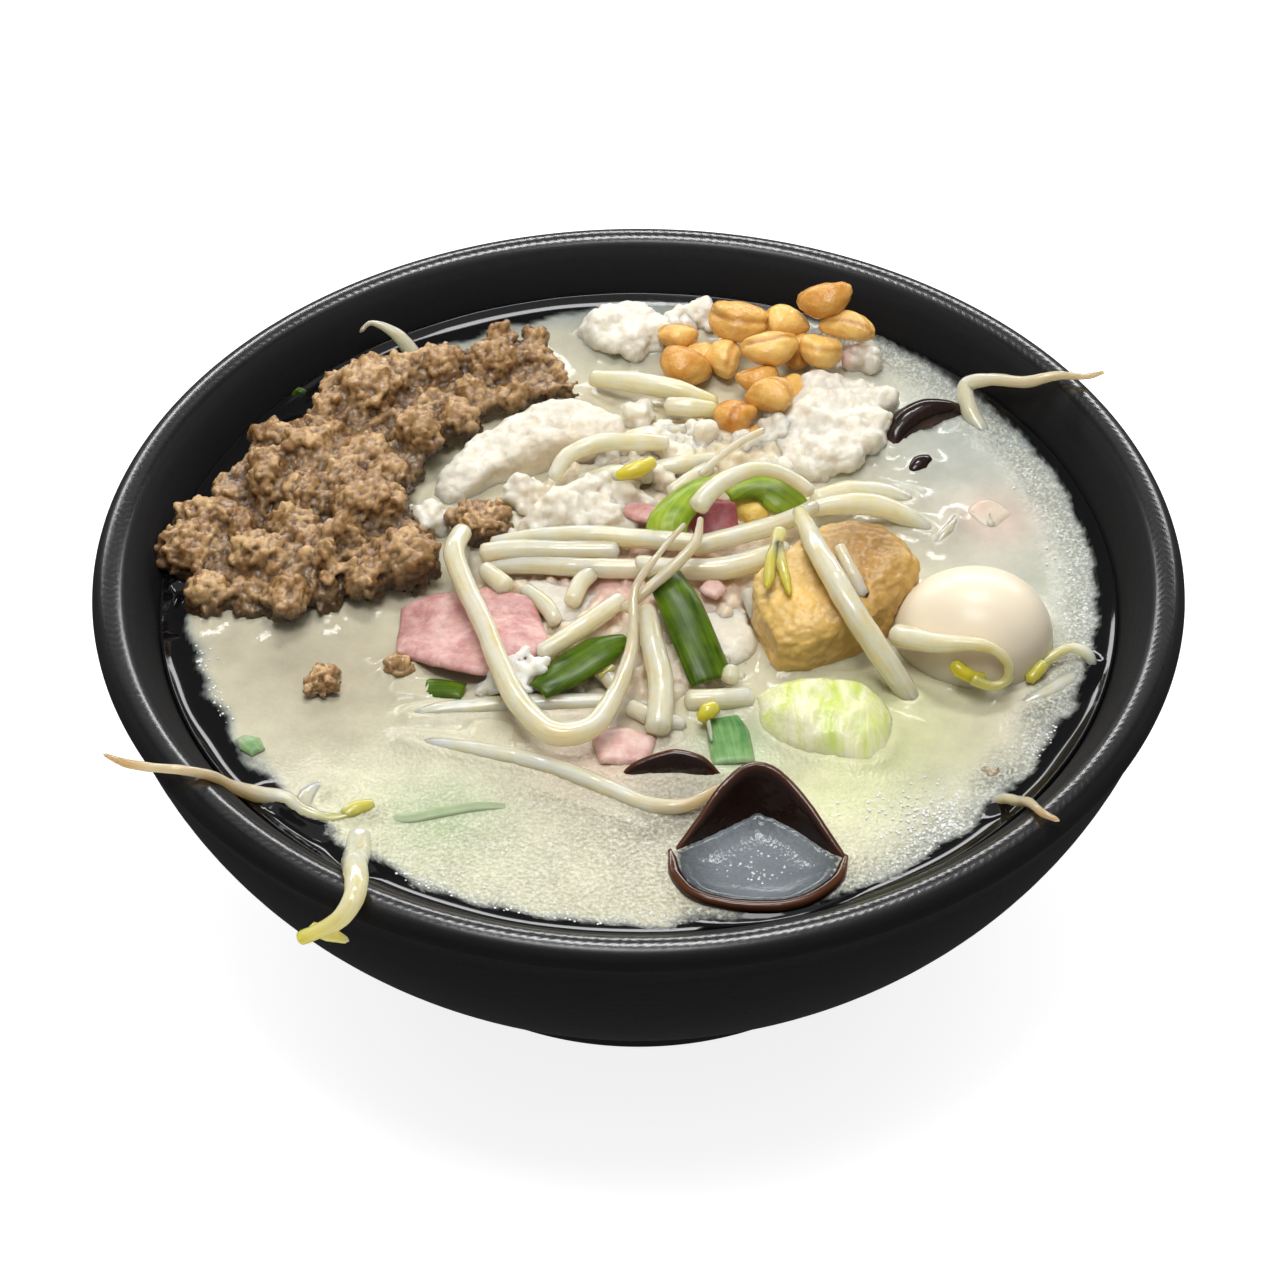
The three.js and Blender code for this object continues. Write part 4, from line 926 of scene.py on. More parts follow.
def stem_lines(routes):
    """The lines of one or more stems as a mesh of edges, with thickness, tint and the run along
    the stem at each point. Each stem's run starts elsewhere, so that no two have the same fibres."""
    points, edges, thickness, tint, runs = [], [], [], [], []
    for route in routes:
        rows = along(route, STEM_STEP)
        run = run_along(rows[:, :3])
        rounded = np.ones(len(rows))
        for distance, width in ((run, rows[0, 3]), (run[-1] - run, rows[-1, 3])):
            share = np.clip(distance / max(width * 0.28, 0.3), 0, 1)
            rounded *= np.sqrt(np.maximum(1 - (1 - share) ** 2, 0.03))
        start = len(points)
        points.extend(rows[:, :3] * MM)
        edges.extend((start + i, start + i + 1) for i in range(len(rows) - 1))
        thickness.extend(rows[:, 3] * rounded * MM)
        tint.extend(rows[:, 4])
        runs.extend((run + 50 * len(runs)) * MM)
    mesh = bpy.data.meshes.new("lines")
    mesh.from_pydata([tuple(p) for p in points], edges, [])
    keep(mesh, "thickness", thickness)
    keep(mesh, "tint", tint)
    keep(mesh, "run", runs)
    return mesh


def make_sprouts():
    """All bean sprouts: those on top, the ends in the pile, the sunk ones, the heads."""
    tree, flesh = stem_tree(), blanched_sprout()
    for shift, (name, route) in enumerate(SPROUTS.items()):
        stem = link(bpy.data.objects.new(name + "_stem", stem_lines([route])))
        shape_by(stem, tree, shift=float(shift), finish=flesh)
        dress(plain(stem), [name])
    for name, routes in (("sprout_ends_in_the_pile", PILE_STEMS),
                         ("sprouts_in_the_broth", SUNK_STEMS)):
        stems = link(bpy.data.objects.new(name, stem_lines(routes)))
        shape_by(stems, tree, shift=float(len(routes)), finish=flesh)
        dress(plain(stems))
    heads = link(bpy.data.objects.new("sprout_heads", stem_lines(HEADS)))
    shape_by(heads, tree, finish=flesh, lump_size=2.0 * MM)
    dress(plain(heads))


# Yellow seed leaves, root ends and thin side roots.
HEADS = [
    [[27.2, 2.4, 15.4, 3, 0.5], [26.3, -2.2, 15.2, 2.4, 0.6], [25.1, -6.2, 15, 2.2, 0.8],
     [24.8, -10, 14.4, 2.2, 0.8], [24.2, -13, 14, 0.9, 1]],
    [[26.6, -1.4, 15.4, 2, 0.6], [27.3, -6.5, 14.8, 2.2, 0.7], [28, -10.4, 14.2, 2, 0.8],
     [28.7, -14.2, 13.6, 0.9, 1]],
    [[3, 26, 12.4, 2.6, 0.7], [0.3, 23.4, 12.8, 3.4, 0.9], [-2.1, 22.5, 12.6, 3, 0.9],
     [-4.4, 21.7, 12, 1.6, 1]],
    [[13.6, 20.8, 11.6, 1.4, 0.9], [15.8, 21.6, 12, 1.8, 0.9], [18, 22, 12, 1.2, 1]],
    [[-4.4, -24.4, 4.8, 1.8, 0.6], [-6.1, -25.6, 4.2, 1.6, 0.8], [-7.6, -26.8, 4, 0.9, 0.9]],
    [[14.6, -34, 3.4, 3, 0.9], [13, -35.9, 3.6, 3.4, 0.9], [11.3, -37.6, 3.2, 1.8, 1]],
    [[13, -36.9, 3, 1, 0.3], [13.4, -39.5, 2.4, 0.8, 0.2], [13.7, -41.9, 1.6, 0.6, 0.2]],
    [[65.5, -28.6, 5.6, 2, 0.9], [62.8, -29.2, 6.4, 2.4, 1], [60.6, -28.2, 7, 3, 1],
     [59.2, -26.9, 8, 2.2, 1]],
    [[73.6, -26.3, 2.4, 2.2, 0.9], [75.4, -24.6, 3.2, 2.6, 0.9], [77.1, -22.4, 3.8, 2.4, 0.7]],
    [[17.5, -24.6, 4.4, 3.2, 0.1], [17.4, -26.6, 4.2, 3.6, 0.15], [17.1, -28.4, 3.8, 3.2, 0.1]],
    [[-54.5, -61.4, 0.8, 3, 0.7], [-52, -59.6, 1.4, 3.4, 0.8], [-48.6, -58, 0.8, 3, 0.7]],
    [[58.3, 14, 0.6, 2.2, -0.1], [60.9, 18, 1.2, 2.4, -0.2], [62.9, 22.4, 1, 1.4, -0.2]],
    [[63.8, -48.2, 0.6, 2.6, -0.6], [65.6, -50.3, 0.8, 2.6, -0.9], [68, -47.3, 1, 1.2, -0.9]],
    [[-58.6, -92.5, 5, 2.2, 0.8], [-55, -93.4, 4.2, 3, 0.7], [-51.5, -94, 3, 1, 0.6]],
]

# Pieces of stem that show between and beneath the ones on top.
PILE_STEMS = [
    [[-29, 9.4, 5.6, 2.4], [-22, 9.4, 7, 3.4], [-12, 8.6, 8.4, 3.8], [-2, 7.2, 9, 4],
     [8, 5.4, 9.6, 3.8], [15, 5, 9.8, 2.6]],
    [[-31, 3.6, 4, 2.2], [-22, 3.2, 5.4, 3.4], [-12, 1.6, 6.4, 3.8], [-2, 0.4, 7, 4],
     [7, 0.6, 7.4, 3.2]],
    [[31.7, 17.6, 6.4, 2.6], [38, 19.6, 6.4, 4], [46, 21.2, 5.2, 4.6], [53, 20.6, 2.4, 4.2],
     [58, 18.4, -0.6, 3]],
    [[-12, 24, 8.6, 3], [-5, 25.6, 9.4, 3.6], [3, 25.6, 9, 3.4]],
    [[2, 30, 6.4, 3.4], [9, 31.4, 7, 3.8], [16, 33.6, 6.4, 3.2]],
    [[5.1, 51.1, 5.6, 3.6], [10.4, 50.4, 5.6, 4.2], [16, 51, 4.6, 3, 0.4]],
    [[6, 22, 7, 3.2], [10.6, 26.4, 7.6, 3.4], [14, 31, 6.4, 3]],
    [[-21, 11.4, 5, 3], [-14, 12, 6, 3.6], [-7, 11, 6, 3.4], [-1, 9.4, 5.4, 3]],
    [[-22, -2, 4, 3], [-18, -7, 4.4, 3.4], [-15.6, -12, 4, 3]],
    [[9, -12, 3.4, 3.4], [12.6, -17.6, 3, 3.8], [17, -22, 1.8, 3.4]],
    [[21, -4, 5.6, 3.2], [22.6, -9, 4.6, 3.6], [25, -14.4, 2.4, 3]],
    [[-6, 40, 4.6, 3.2], [2, 42.4, 5.2, 3.8], [10, 43.6, 4.6, 3.4]],
    [[-16, -17.6, 3.2, 3], [-9, -22.4, 3.6, 3.4], [-4, -28, 2.6, 3.2]],
    [[-2, -33, 2.4, 3.4], [3, -36.4, 2.6, 3.6], [9, -37.6, 1.6, 3]],
]
SUNK_STEMS = [
    [[34.1, 22.6, 5, 4], [41.8, 26.7, 3.6, 5], [49.8, 28.4, 1, 5], [55.4, 27.4, -1.2, 4]],
    [[-58.6, -52.1, -0.6, 4], [-61.3, -55.8, 0, 4.4], [-61.2, -59.4, 0, 4.2],
     [-57.6, -62.2, -0.2, 3.6, 0.3], [-53.9, -62.8, -0.6, 3, 0.4]],
    [[70, -31.6, -0.9, 3.6], [76, -28.6, -0.5, 4.8], [82, -23.9, -0.6, 4.8],
     [86, -20.8, -1, 3]],
    [[30, -22.6, -1.4, 4], [38, -24.6, -1.2, 4.4], [46, -24, -1.6, 3.6]],
    [[-20, -52, -1.6, 3.6], [-10, -56.6, -1.4, 4], [2, -64, -1.8, 3.4]],
]


# ---- Leaves and slices ----
def leaf_mesh(name, route, thickness, seed=1, wave=0.6, curl=0.0, lean=0.0, frill=0.0, ragged=0.0):
    """A thin wavy closed leaf along a route, thinner at its rim, with the share of the way to
    its edge kept for each point. Lean turns it about the route, in degrees."""
    wave_length, frill_length, tear_length = 16, 4.5, 2.6
    rows = along(route, LEAF_STEP)
    line, width = rows[:, :3], rows[:, 3]
    tangent = np.gradient(line, axis=0)
    tangent /= np.linalg.norm(tangent, axis=1)[:, None]
    side = np.stack([tangent[:, 1], -tangent[:, 0], np.zeros(len(line))], 1)
    side /= np.linalg.norm(side, axis=1)[:, None]
    turn = math.radians(-lean)
    side = side * math.cos(turn) + np.cross(tangent, side) * math.sin(turn)
    normal = np.cross(side, tangent)
    columns = max(6, int(width.max() / LEAF_STEP))
    across = np.linspace(-0.5, 0.5, columns + 1)
    run = run_along(line)
    width = width * (1 + ragged * waviness(line + seed, seed + 5, tear_length))
    flat = line[:, None] + side[:, None] * (across[:, None] * width[:, None, None])
    lift = waviness(flat, seed, wave_length) * wave + curl * (4 * across ** 2 - 0.5)
    lift = lift + frill * waviness(flat, seed + 1, frill_length) * (0.4 + 2.4 * across ** 2)
    edge = np.maximum(np.abs(2 * across)[None], np.abs(2 * run / run[-1] - 1)[:, None])
    half = thickness / 2 * np.clip(1.02 - edge ** 8 * 0.75, 0.2, 1)
    top = flat + normal[:, None] * (lift + half)[..., None]
    bottom = flat + normal[:, None] * (lift - half)[..., None]
    points = np.concatenate([top.reshape(-1, 3), bottom.reshape(-1, 3)]) * MM
    faces = sheet_faces(len(line), columns + 1)
    uv = np.stack([across[None] * width[:, None], np.repeat(run[:, None], columns + 1, 1)], -1) * MM
    mesh = mesh_of(name, points, faces, {"edge": np.tile(edge.ravel(), 2)},
                   np.tile(uv.reshape(-1, 2), (2, 1)))
    return outward(mesh)


def patch_mesh(name, outline, crest, thickness, seed=1, wave=0.4, frill=0.3, rings=16):
    """A thin closed leaf filling an outline of [x, y, lift] points, domed up to its crest."""
    wave_length, frill_length = 14, 4
    loop = np.array(outline + outline[:1], float)
    rim = along([list(p) + [0] for p in loop], PATCH_STEP)[:-1, :3]
    crest = np.array([crest[0], crest[1], crest[2] + BROTH_LEVEL], float)
    share = np.linspace(0, 1, rings + 1)[1:, None, None]
    flat = crest + (rim - crest) * share
    flat[..., 2] = crest[2] + (rim[:, 2] - crest[2]) * share[..., 0] ** 2.2
    flat[..., 2] += (waviness(flat, seed, wave_length) * wave
                     + waviness(flat, seed + 1, frill_length) * frill)
    half = thickness / 2 * np.clip(1.02 - share[..., 0] ** 10 * 0.75, 0.2, 1)
    top, bottom = flat.copy(), flat.copy()
    top[..., 2] += half
    bottom[..., 2] -= half
    sides = len(rim)
    both = np.vstack([top.reshape(-1, 3), bottom.reshape(-1, 3)])
    middle = flat[0, :, 2].mean()
    both = np.vstack([both, [crest[0], crest[1], middle + thickness / 2],
                      [crest[0], crest[1], middle - thickness / 2]])
    ring = np.arange(sides)
    after = (ring + 1) % sides
    faces = []
    for side in range(2):
        base = side * rings * sides
        for r in range(rings - 1):
            low, high = base + r * sides, base + (r + 1) * sides
            faces.extend(np.stack([low + ring, high + ring, high + after, low + after], 1))
        faces.extend(np.stack([np.full(sides, 2 * rings * sides + side), base + ring,
                               base + after], 1))
    edge = (rings - 1) * sides
    faces.extend(np.stack([edge + ring, edge + ring + rings * sides,
                           edge + after + rings * sides, edge + after], 1))
    away = np.concatenate([np.repeat(share[:, 0, 0], sides)] * 2 + [[0, 0]])
    mesh = mesh_of(name, both * MM, faces, {"edge": away}, both[:, :2] * MM)
    return outward(mesh)


# the two sides of the wood ear's cup, where they meet the broth
CUP_RIM = [[6.9, -70.8], [9.6, -68.2], [13, -65.4], [17.3, -61.6], [21.6, -58.6], [25, -60],
           [30.2, -64.6], [36.8, -73]]
CUP_FRONT = [[6.8, -70, 0.2, 4], [7.6, -76.8, 0.6, 4.8], [10.6, -81.4, 0.7, 5],
             [19.6, -83.9, 0.8, 5.2], [29.4, -82.8, 0.8, 5.2], [35.4, -77.6, 0.6, 4.8],
             [37, -71.6, 0.4, 4]]


def extra_slices(dark, pink, pale, sunk):
    """Slices too small or too deep in the broth to be solids of their own."""
    return [
        ("ham_strip", pink, 1.6,
         [[-2.8, 18.2, 7, 3], [0.7, 15.9, 8, 5.4], [4.2, 14.2, 7.4, 4]], {"seed": 31}),
        ("ham_under_bands", pale, 1.8,
         [[-13, 3, 2.6, 8], [-7.4, -1, 3.4, 12], [-1.6, -3.5, 3.6, 12], [4, 0.5, 2.6, 7]],
         {"seed": 32, "frill": 0.4, "ragged": 0.06}),
        ("ham_pale_bit", pale, 1.4,
         [[12.2, -4.5, 7.6, 3], [14.1, -5.6, 7.8, 5], [16, -7.3, 7.4, 3]], {"seed": 33}),
        ("ham_bits_afloat", pale, 1,
         [[66.5, 22.1, 0, 5], [69.5, 24.3, 0.2, 8], [72.4, 22.1, 0, 5]],
         {"seed": 34, "frill": 0.3, "ragged": 0.12}),
        ("leek_under_broth", sunk, 0.9,
         [[-49.5, -58.9, -0.2, 1.6], [-43, -60.5, 0, 2.4], [-36.6, -58.9, 0.1, 2.8],
          [-29.2, -57.3, 0, 2.4], [-23.3, -57.3, -0.2, 1.4]], {"seed": 35, "wave": 0.1}),
        ("leek_beneath_fish", dark, 0.9,
         [[-30.5, -38.3, 0.4, 4], [-27.5, -39, 0.4, 6], [-24.1, -39.6, 0.2, 4]], {"seed": 36}),
        ("leek_scrap", sunk, 0.9,
         [[-74.7, -39, 0.2, 2.4], [-72.7, -41.3, 0.6, 4.6], [-71, -43.5, 0.2, 3]], {"seed": 37}),
        ("leek_thread_back", dark, 0.7,
         [[-70.2, 52.7, 7, 1], [-68.6, 53, 8.4, 1.6], [-67, 52.6, 8, 1.2]], {"seed": 38}),
    ]


def make_leaves():
    """Leek, ham, wood ear and cabbage."""
    bright = leek_leaf("blanched_leek_bright", 0xa3b53a, 0x64851a)
    dark = leek_leaf("blanched_leek_dark", 0x587410, 0x2b4304)
    sunk = leek_leaf("blanched_leek_under_broth", 0x7fa866, 0x437a3e, 0.45)
    pink = cooked_ham("cooked_ham", 0xdab2a8, 0xb87e7a)
    maroon = cooked_ham("cooked_ham_folded", 0xb9666c, 0x8e3f4c)
    pale = cooked_ham("cooked_ham_under_broth", 0xdfc3b6, 0xc99a92)
    cabbage = blanched_cabbage()
    ear = soaked_wood_ear()
    leaves = [
        ("leek_light", "leek", bright, LEEK_THICKNESS,
         [[5.1, 5.8, 9.6, 7.6], [5.7, 9.6, 11.6, 8], [9, 15.2, 11.8, 7.4], [13.5, 20.7, 10.8, 5.5],
          [16.3, 23.4, 9.6, 3]], {"seed": 3, "curl": -1.2}),
        ("leek_long", "leek", dark, LEEK_THICKNESS,
         [[4.8, -5, 10.6, 7], [7.8, -12, 10, 8.2], [10.8, -20, 7.4, 8.6], [14, -28, 4.2, 8.6]],
         {"seed": 5, "curl": -1.2, "wave": 0.3}),
        ("leek_flat", "leek", dark, LEEK_THICKNESS,
         [[-19, -31, 4.6, 5], [-13, -25.6, 5.2, 8.6], [-7, -20.8, 5.6, 8], [-2.5, -17.6, 5.6, 3]],
         {"seed": 6, "curl": -0.8, "wave": 0.3}),
        ("leek_curl", "leek", bright, LEEK_THICKNESS,
         [[17.5, 19.6, 8.8, 3], [21.5, 21.8, 9.4, 6], [25.4, 22, 9.6, 9], [29, 19.6, 8.6, 9],
          [32.4, 17.4, 7, 4]], {"seed": 7, "lean": -12, "wave": 0.3, "curl": -0.8}),
        ("leek_left", "leek", dark, LEEK_THICKNESS,
         [[-46, -27, 0.6, 3], [-40, -27, 1.4, 5], [-33, -28.6, 2, 4]], {"seed": 8}),
        ("leek_sunk", "leek", sunk, LEEK_THICKNESS,
         [[15.7, -34.6, 0.8, 6], [16.8, -39, 0.6, 8], [17.8, -46.6, 0.6, 8]],
         {"seed": 9, "wave": 0.3}),
        ("ham_slice", "ham", pink, HAM_THICKNESS,
         [[-46, -12, 2, 12], [-38, -12.4, 3, 21], [-29, -14, 4, 25], [-18.5, -11.4, 4, 15]],
         {"seed": 11, "wave": 1, "frill": 0.3}),
        ("ham_fold", "ham", maroon, HAM_THICKNESS,
         [[11, 11.6, 6, 7], [15, 13.7, 7, 10], [19.4, 14.4, 7, 7]],
         {"seed": 12, "lean": -28, "curl": 0.6, "wave": 0.3}),
        ("ham_sunk", "ham", pale, HAM_THICKNESS,
         [[-8, -43.5, 0.6, 7], [-3.5, -42.5, 0.9, 10], [2.5, -44, 0.6, 7]],
         {"seed": 13, "frill": 0.3}),
        ("wood_ear_small", "wood_ear", ear, WOOD_EAR_THICKNESS,
         [[-3, -51, -0.4, 3], [0, -50, 0.8, 5.4], [6.8, -49, 1.8, 7.4], [11, -49.6, 1.4, 6.6],
          [14.4, -50.6, 0, 3.6]], {"seed": 16, "lean": -62}),
        ("wood_ear_right", "wood_ear", ear, WOOD_EAR_THICKNESS,
         [[51, 43.6, -0.6, 3], [52, 46.7, 1.6, 5.6], [54.3, 49.4, 3.2, 6.4],
          [58, 51.8, 3.8, 6.2], [62.2, 53.3, 2.8, 5], [66.4, 54.7, 0.4, 2.4]],
         {"seed": 17, "lean": -18, "curl": -2.2, "wave": 0.2}),
        ("wood_ear_bit", "wood_ear", ear, WOOD_EAR_THICKNESS,
         [[54.4, 35.4, 0.4, 2.2], [56.2, 37.8, 1.4, 4.2], [58.4, 39.8, 0.6, 2.6]],
         {"seed": 18, "curl": -1}),
        ("wood_ear_cup", "wood_ear", ear, WOOD_EAR_THICKNESS,
         [[6.9, -70.8, -0.4, 3.4], [9.6, -68.2, 0.6, 5.4], [13, -65.4, 1.8, 8],
          [17.3, -61.6, 3.4, 11.4], [21.6, -58.6, 4.4, 13], [25, -60, 3.6, 11.6],
          [30.2, -64.6, 2.3, 9], [36.8, -73, 0, 4.4]], {"seed": 15, "lean": -66, "wave": 0.4}),
    ]
    for name, slot, material, thickness, route, options in leaves:
        mesh = leaf_mesh(name + "_slice", route, thickness, **options)
        piece(name + "_slice", mesh, material, [name])
    front = leaf_mesh("wood_ear_cup_front", CUP_FRONT, CUP_FRONT_THICKNESS, seed=19, lean=62,
                      wave=0.3, frill=0.1)
    piece("wood_ear_cup_front", front, ear)
    crown = patch_mesh("cabbage_leaf", [
        [22.2, -29.6, 1.6], [24.8, -29.4, 3.6], [30.4, -29, 4.8], [37.9, -28.8, 4.8],
        [43.4, -29.2, 3.4], [46.6, -32.4, 2], [48, -38.6, 1], [46.6, -45.2, 0.1],
        [42, -47.8, -0.3], [35.6, -47, -0.3], [28.6, -43.8, 0.2], [23.2, -38.6, 1]],
        [34, -36, 6.2], CABBAGE_THICKNESS, seed=14, wave=0.9, frill=0.4)
    piece("cabbage_leaf", crown, cabbage, ["cabbage"])
    for name, material, thickness, route, options in extra_slices(dark, pink, pale, sunk):
        piece(name, leaf_mesh(name, route, thickness, **options), material)


# ---- Crumbly pieces: fish, tofu and minced meat ----
def crumbly_tree():
    """Roughens a fine surface with lumps, crumbs and grain, and keeps how deep each point lies
    below its surroundings."""
    tree, given = shape_tree(
        "crumbly_surface", lump_size=6 * MM, lump_depth=0.8 * MM, crumb_size=2 * MM,
        crumb_depth=0.5 * MM, grain_size=0.8 * MM, grain_depth=0.2 * MM, shift=0.0, finish=None)
    heights = None
    for label, kind in (("lump", "ShaderNodeTexNoise"), ("crumb", "ShaderNodeTexVoronoi"),
                        ("grain", "ShaderNodeTexNoise")):
        fineness = add(tree, "ShaderNodeMath", {0: 1.0, 1: given[label + " size"]},
                       operation="DIVIDE")
        dimensions = ({"noise_dimensions": "4D"} if kind.endswith("Noise")
                      else {"voronoi_dimensions": "4D"})
        pattern = add(tree, kind, {"Scale": fineness.outputs[0], "W": given["shift"],
                                   "Detail": 4.0 if kind.endswith("Noise") else 0.0},
                      **dimensions)
        # crumbs stand up between deep gaps; lumps and grain swing evenly about the surface
        power, middle, sign = (2.0, 0.35, -1.4) if label == "crumb" else (1.0, 0.5, 2.0)
        shaped = add(tree, "ShaderNodeMath", {0: pattern.outputs[0], 1: power}, operation="POWER")
        centred = add(tree, "ShaderNodeMath", {0: shaped.outputs[0], 1: middle},
                      operation="SUBTRACT")
        depth = add(tree, "ShaderNodeMath", {0: given[label + " depth"], 1: sign},
                    operation="MULTIPLY")
        height = add(tree, "ShaderNodeMath", {0: centred.outputs[0], 1: depth.outputs[0]},
                     operation="MULTIPLY").outputs[0]
        heights = height if heights is None else add(
            tree, "ShaderNodeMath", {0: heights, 1: height}, operation="ADD").outputs[0]
    out = add(tree, "GeometryNodeInputNormal").outputs[0]
    offset = add(tree, "ShaderNodeVectorMath", {0: out, "Scale": heights}, operation="SCALE")
    rough = add(tree, "GeometryNodeSetPosition", {
        "Geometry": given["shape"], "Offset": offset.outputs[0]})
    here = add(tree, "GeometryNodeInputPosition").outputs[0]
    around = add(tree, "GeometryNodeBlurAttribute", {"Iterations": 6}, data_type="FLOAT_VECTOR")
    tree.links.new(here, around.inputs["Value"])
    below = add(tree, "ShaderNodeVectorMath", {0: around.outputs[0], 1: here},
                operation="SUBTRACT")
    depth = add(tree, "ShaderNodeVectorMath", {0: below.outputs[0], 1: out},
                operation="DOT_PRODUCT")
    kept = add(tree, "GeometryNodeStoreNamedAttribute", {
        "Geometry": rough.outputs[0], "Name": "hollow"}, data_type="FLOAT", domain="POINT")
    tree.links.new(depth.outputs["Value"], kept.inputs["Value"])
    return end_tree(tree, kept.outputs[0], given["finish"])


def crumbled_tree():
    """Covers a core, first let in by a little, with crumbs of uneven size, ready to be fused."""
    tree, given = shape_tree(
        "crumbs_on_a_core", spacing=1.5 * MM, smallest=0.9 * MM, largest=2.0 * MM, sunk=0.0,
        seed=SEED, finish=None)
    out = add(tree, "GeometryNodeInputNormal")
    down = add(tree, "ShaderNodeMath", {0: given["sunk"], 1: -1.0}, operation="MULTIPLY")
    inward = add(tree, "ShaderNodeVectorMath", {0: out.outputs[0], "Scale": down.outputs[0]},
                 operation="SCALE")
    core = add(tree, "GeometryNodeSetPosition", {
        "Geometry": given["shape"], "Offset": inward.outputs[0]}).outputs[0]
    spots = add(tree, "GeometryNodeDistributePointsOnFaces", {
        "Mesh": core, "Distance Min": given["spacing"], "Density Max": 400000.0,
        "Seed": given["seed"]}, distribute_method="POISSON")
    crumb = add(tree, "GeometryNodeMeshIcoSphere", {"Radius": 1.0, "Subdivisions": 2})
    size = add(tree, "FunctionNodeRandomValue", {
        2: given["smallest"], 3: given["largest"], "Seed": given["seed"]}, data_type="FLOAT")
    stretch = add(tree, "FunctionNodeRandomValue", {
        0: (0.7, 0.7, 0.7), 1: (1.3, 1.3, 1.3), "Seed": given["seed"]},
        data_type="FLOAT_VECTOR")
    scale = add(tree, "ShaderNodeVectorMath", {
        0: stretch.outputs[0], "Scale": size.outputs[1]}, operation="SCALE")
    crumbs = add(tree, "GeometryNodeInstanceOnPoints", {
        "Points": spots.outputs["Points"], "Instance": crumb.outputs[0],
        "Rotation": spots.outputs["Rotation"], "Scale": scale.outputs[0]})
    both = add(tree, "GeometryNodeJoinGeometry")
    tree.links.new(core, both.inputs[0])
    tree.links.new(crumbs.outputs[0], both.inputs[0])
    return end_tree(tree, both.outputs[0], given["finish"])


def copy_of(node):
    """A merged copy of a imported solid, as a new object."""
    mesh = merged(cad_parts[node].data.copy())
    return link(bpy.data.objects.new(node + "_finished", mesh))


def refined(thing, voxel, smoothing):
    """Gives the object an even fine surface with its facets smoothed away."""
    fine = thing.modifiers.new("even_faces", "REMESH")
    fine.mode = "VOXEL"
    fine.voxel_size = voxel * MM
    soft = thing.modifiers.new("soft_edges", "SMOOTH")
    soft.factor = 0.5
    soft.iterations = smoothing
    return thing


# tones of the fish: the pink one is the flesh's own colour, the beige ones are painted shade
FISH_TONES_AND_SHADE = [
    [40, 67, 4, 0xdf9f9c, 0.6], [-14, 30, 9, 0xe4cfac, 0.5],
    [6, 38, 12, 0xe9dcc0, 0.5], [-8, 27, 4, 0xd9b892, 0.5], [-16, -8, 10, 0xe3dccb, 0.6],
    [17, -13, 8, 0xeae0cb, 0.6], [-20, -31, 9, 0xf5f6ee, 0.8], [-2, 82, 12, 0xf1ecdc, 0.6],
]
# how deep its lumps and crumbs are, and what flakes cling to it
FISH_PIECES = {
    "fish_upper_right": (1.4, 0.8, "large"), "fish_right": (1.4, 0.7, "large"),
    "fish_arch": (1.7, 0.4, None), "fish_crumb": (1.0, 1.0, "small"),
    "fish_middle": (1.2, 0.8, "large"), "fish_bit": (1.0, 0.8, "small"),
    "fish_front": (1.0, 1.0, "small"), "fish_slice": (0.8, 0.3, None),
    "fish_slice_round": (0.8, 0.3, None), "fish_crumbs": (0.8, 1.0, "small"),
    "fish_back": (1.3, 0.8, "large"),
}
# loose flakes heaped on the pile: x, y, lift, radius
LOOSE_FLAKES = [
    [-20, 14.5, 5.6, 4], [-16, 17.4, 6.6, 4.8], [-11, 19.4, 7, 4.8], [-6.8, 17.6, 6.6, 4.2],
    [-13, 14, 5.4, 4.4], [-8.6, 14.2, 5.4, 4], [-4.4, 14.6, 5, 3.6], [-25, 22.4, 7, 3],
    [-22, 23.4, 7.6, 3.2], [-19.4, 22.6, 7.4, 3], [-22.6, 20.6, 6.4, 3], [-2.7, 22.9, 6.4, 4.2],
    [1.3, 18.6, 5, 3.4], [3.3, 40.8, 4.6, 4.4], [8.3, 36.7, 4.6, 4.2], [13.3, 41.4, 4.2, 4.6],
    [0.3, 51.5, 2.4, 4], [12.2, 30.7, 4.6, 3.8], [20.6, 41, 3, 4], [-1, 29.6, 6.6, 3.8],
    [5, 27.6, 5.6, 3.6], [19, 27.6, 4, 3.6], [7.3, 80, 2, 3.4], [10.7, 83, 2, 4.4],
    [14.6, 82.4, 1.6, 3.6], [26, 33, 3, 3.8], [-6, 36, 4.4, 4.4], [28, 45, 3, 4],
]


def ball(place, radius, seed):
    """A small uneven ball of faces, for fusing into a lump."""
    sides, rows = 12, 7
    unit = sphere_grid(sides, rows + 1)[1:-1].reshape(-1, 3)
    unit = np.vstack([unit, [0, 0, 1], [0, 0, -1]])
    points = place + unit * radius * (1 + 0.28 * waviness(unit * 4, seed, 4)[:, None])
    top, bottom = len(unit) - 2, len(unit) - 1
    last = (rows - 1) * sides
    faces = ring_faces(rows, sides)
    faces += [(top, i, (i + 1) % sides) for i in range(sides)]
    faces += [(bottom, last + (i + 1) % sides, last + i) for i in range(sides)]
    return points, faces


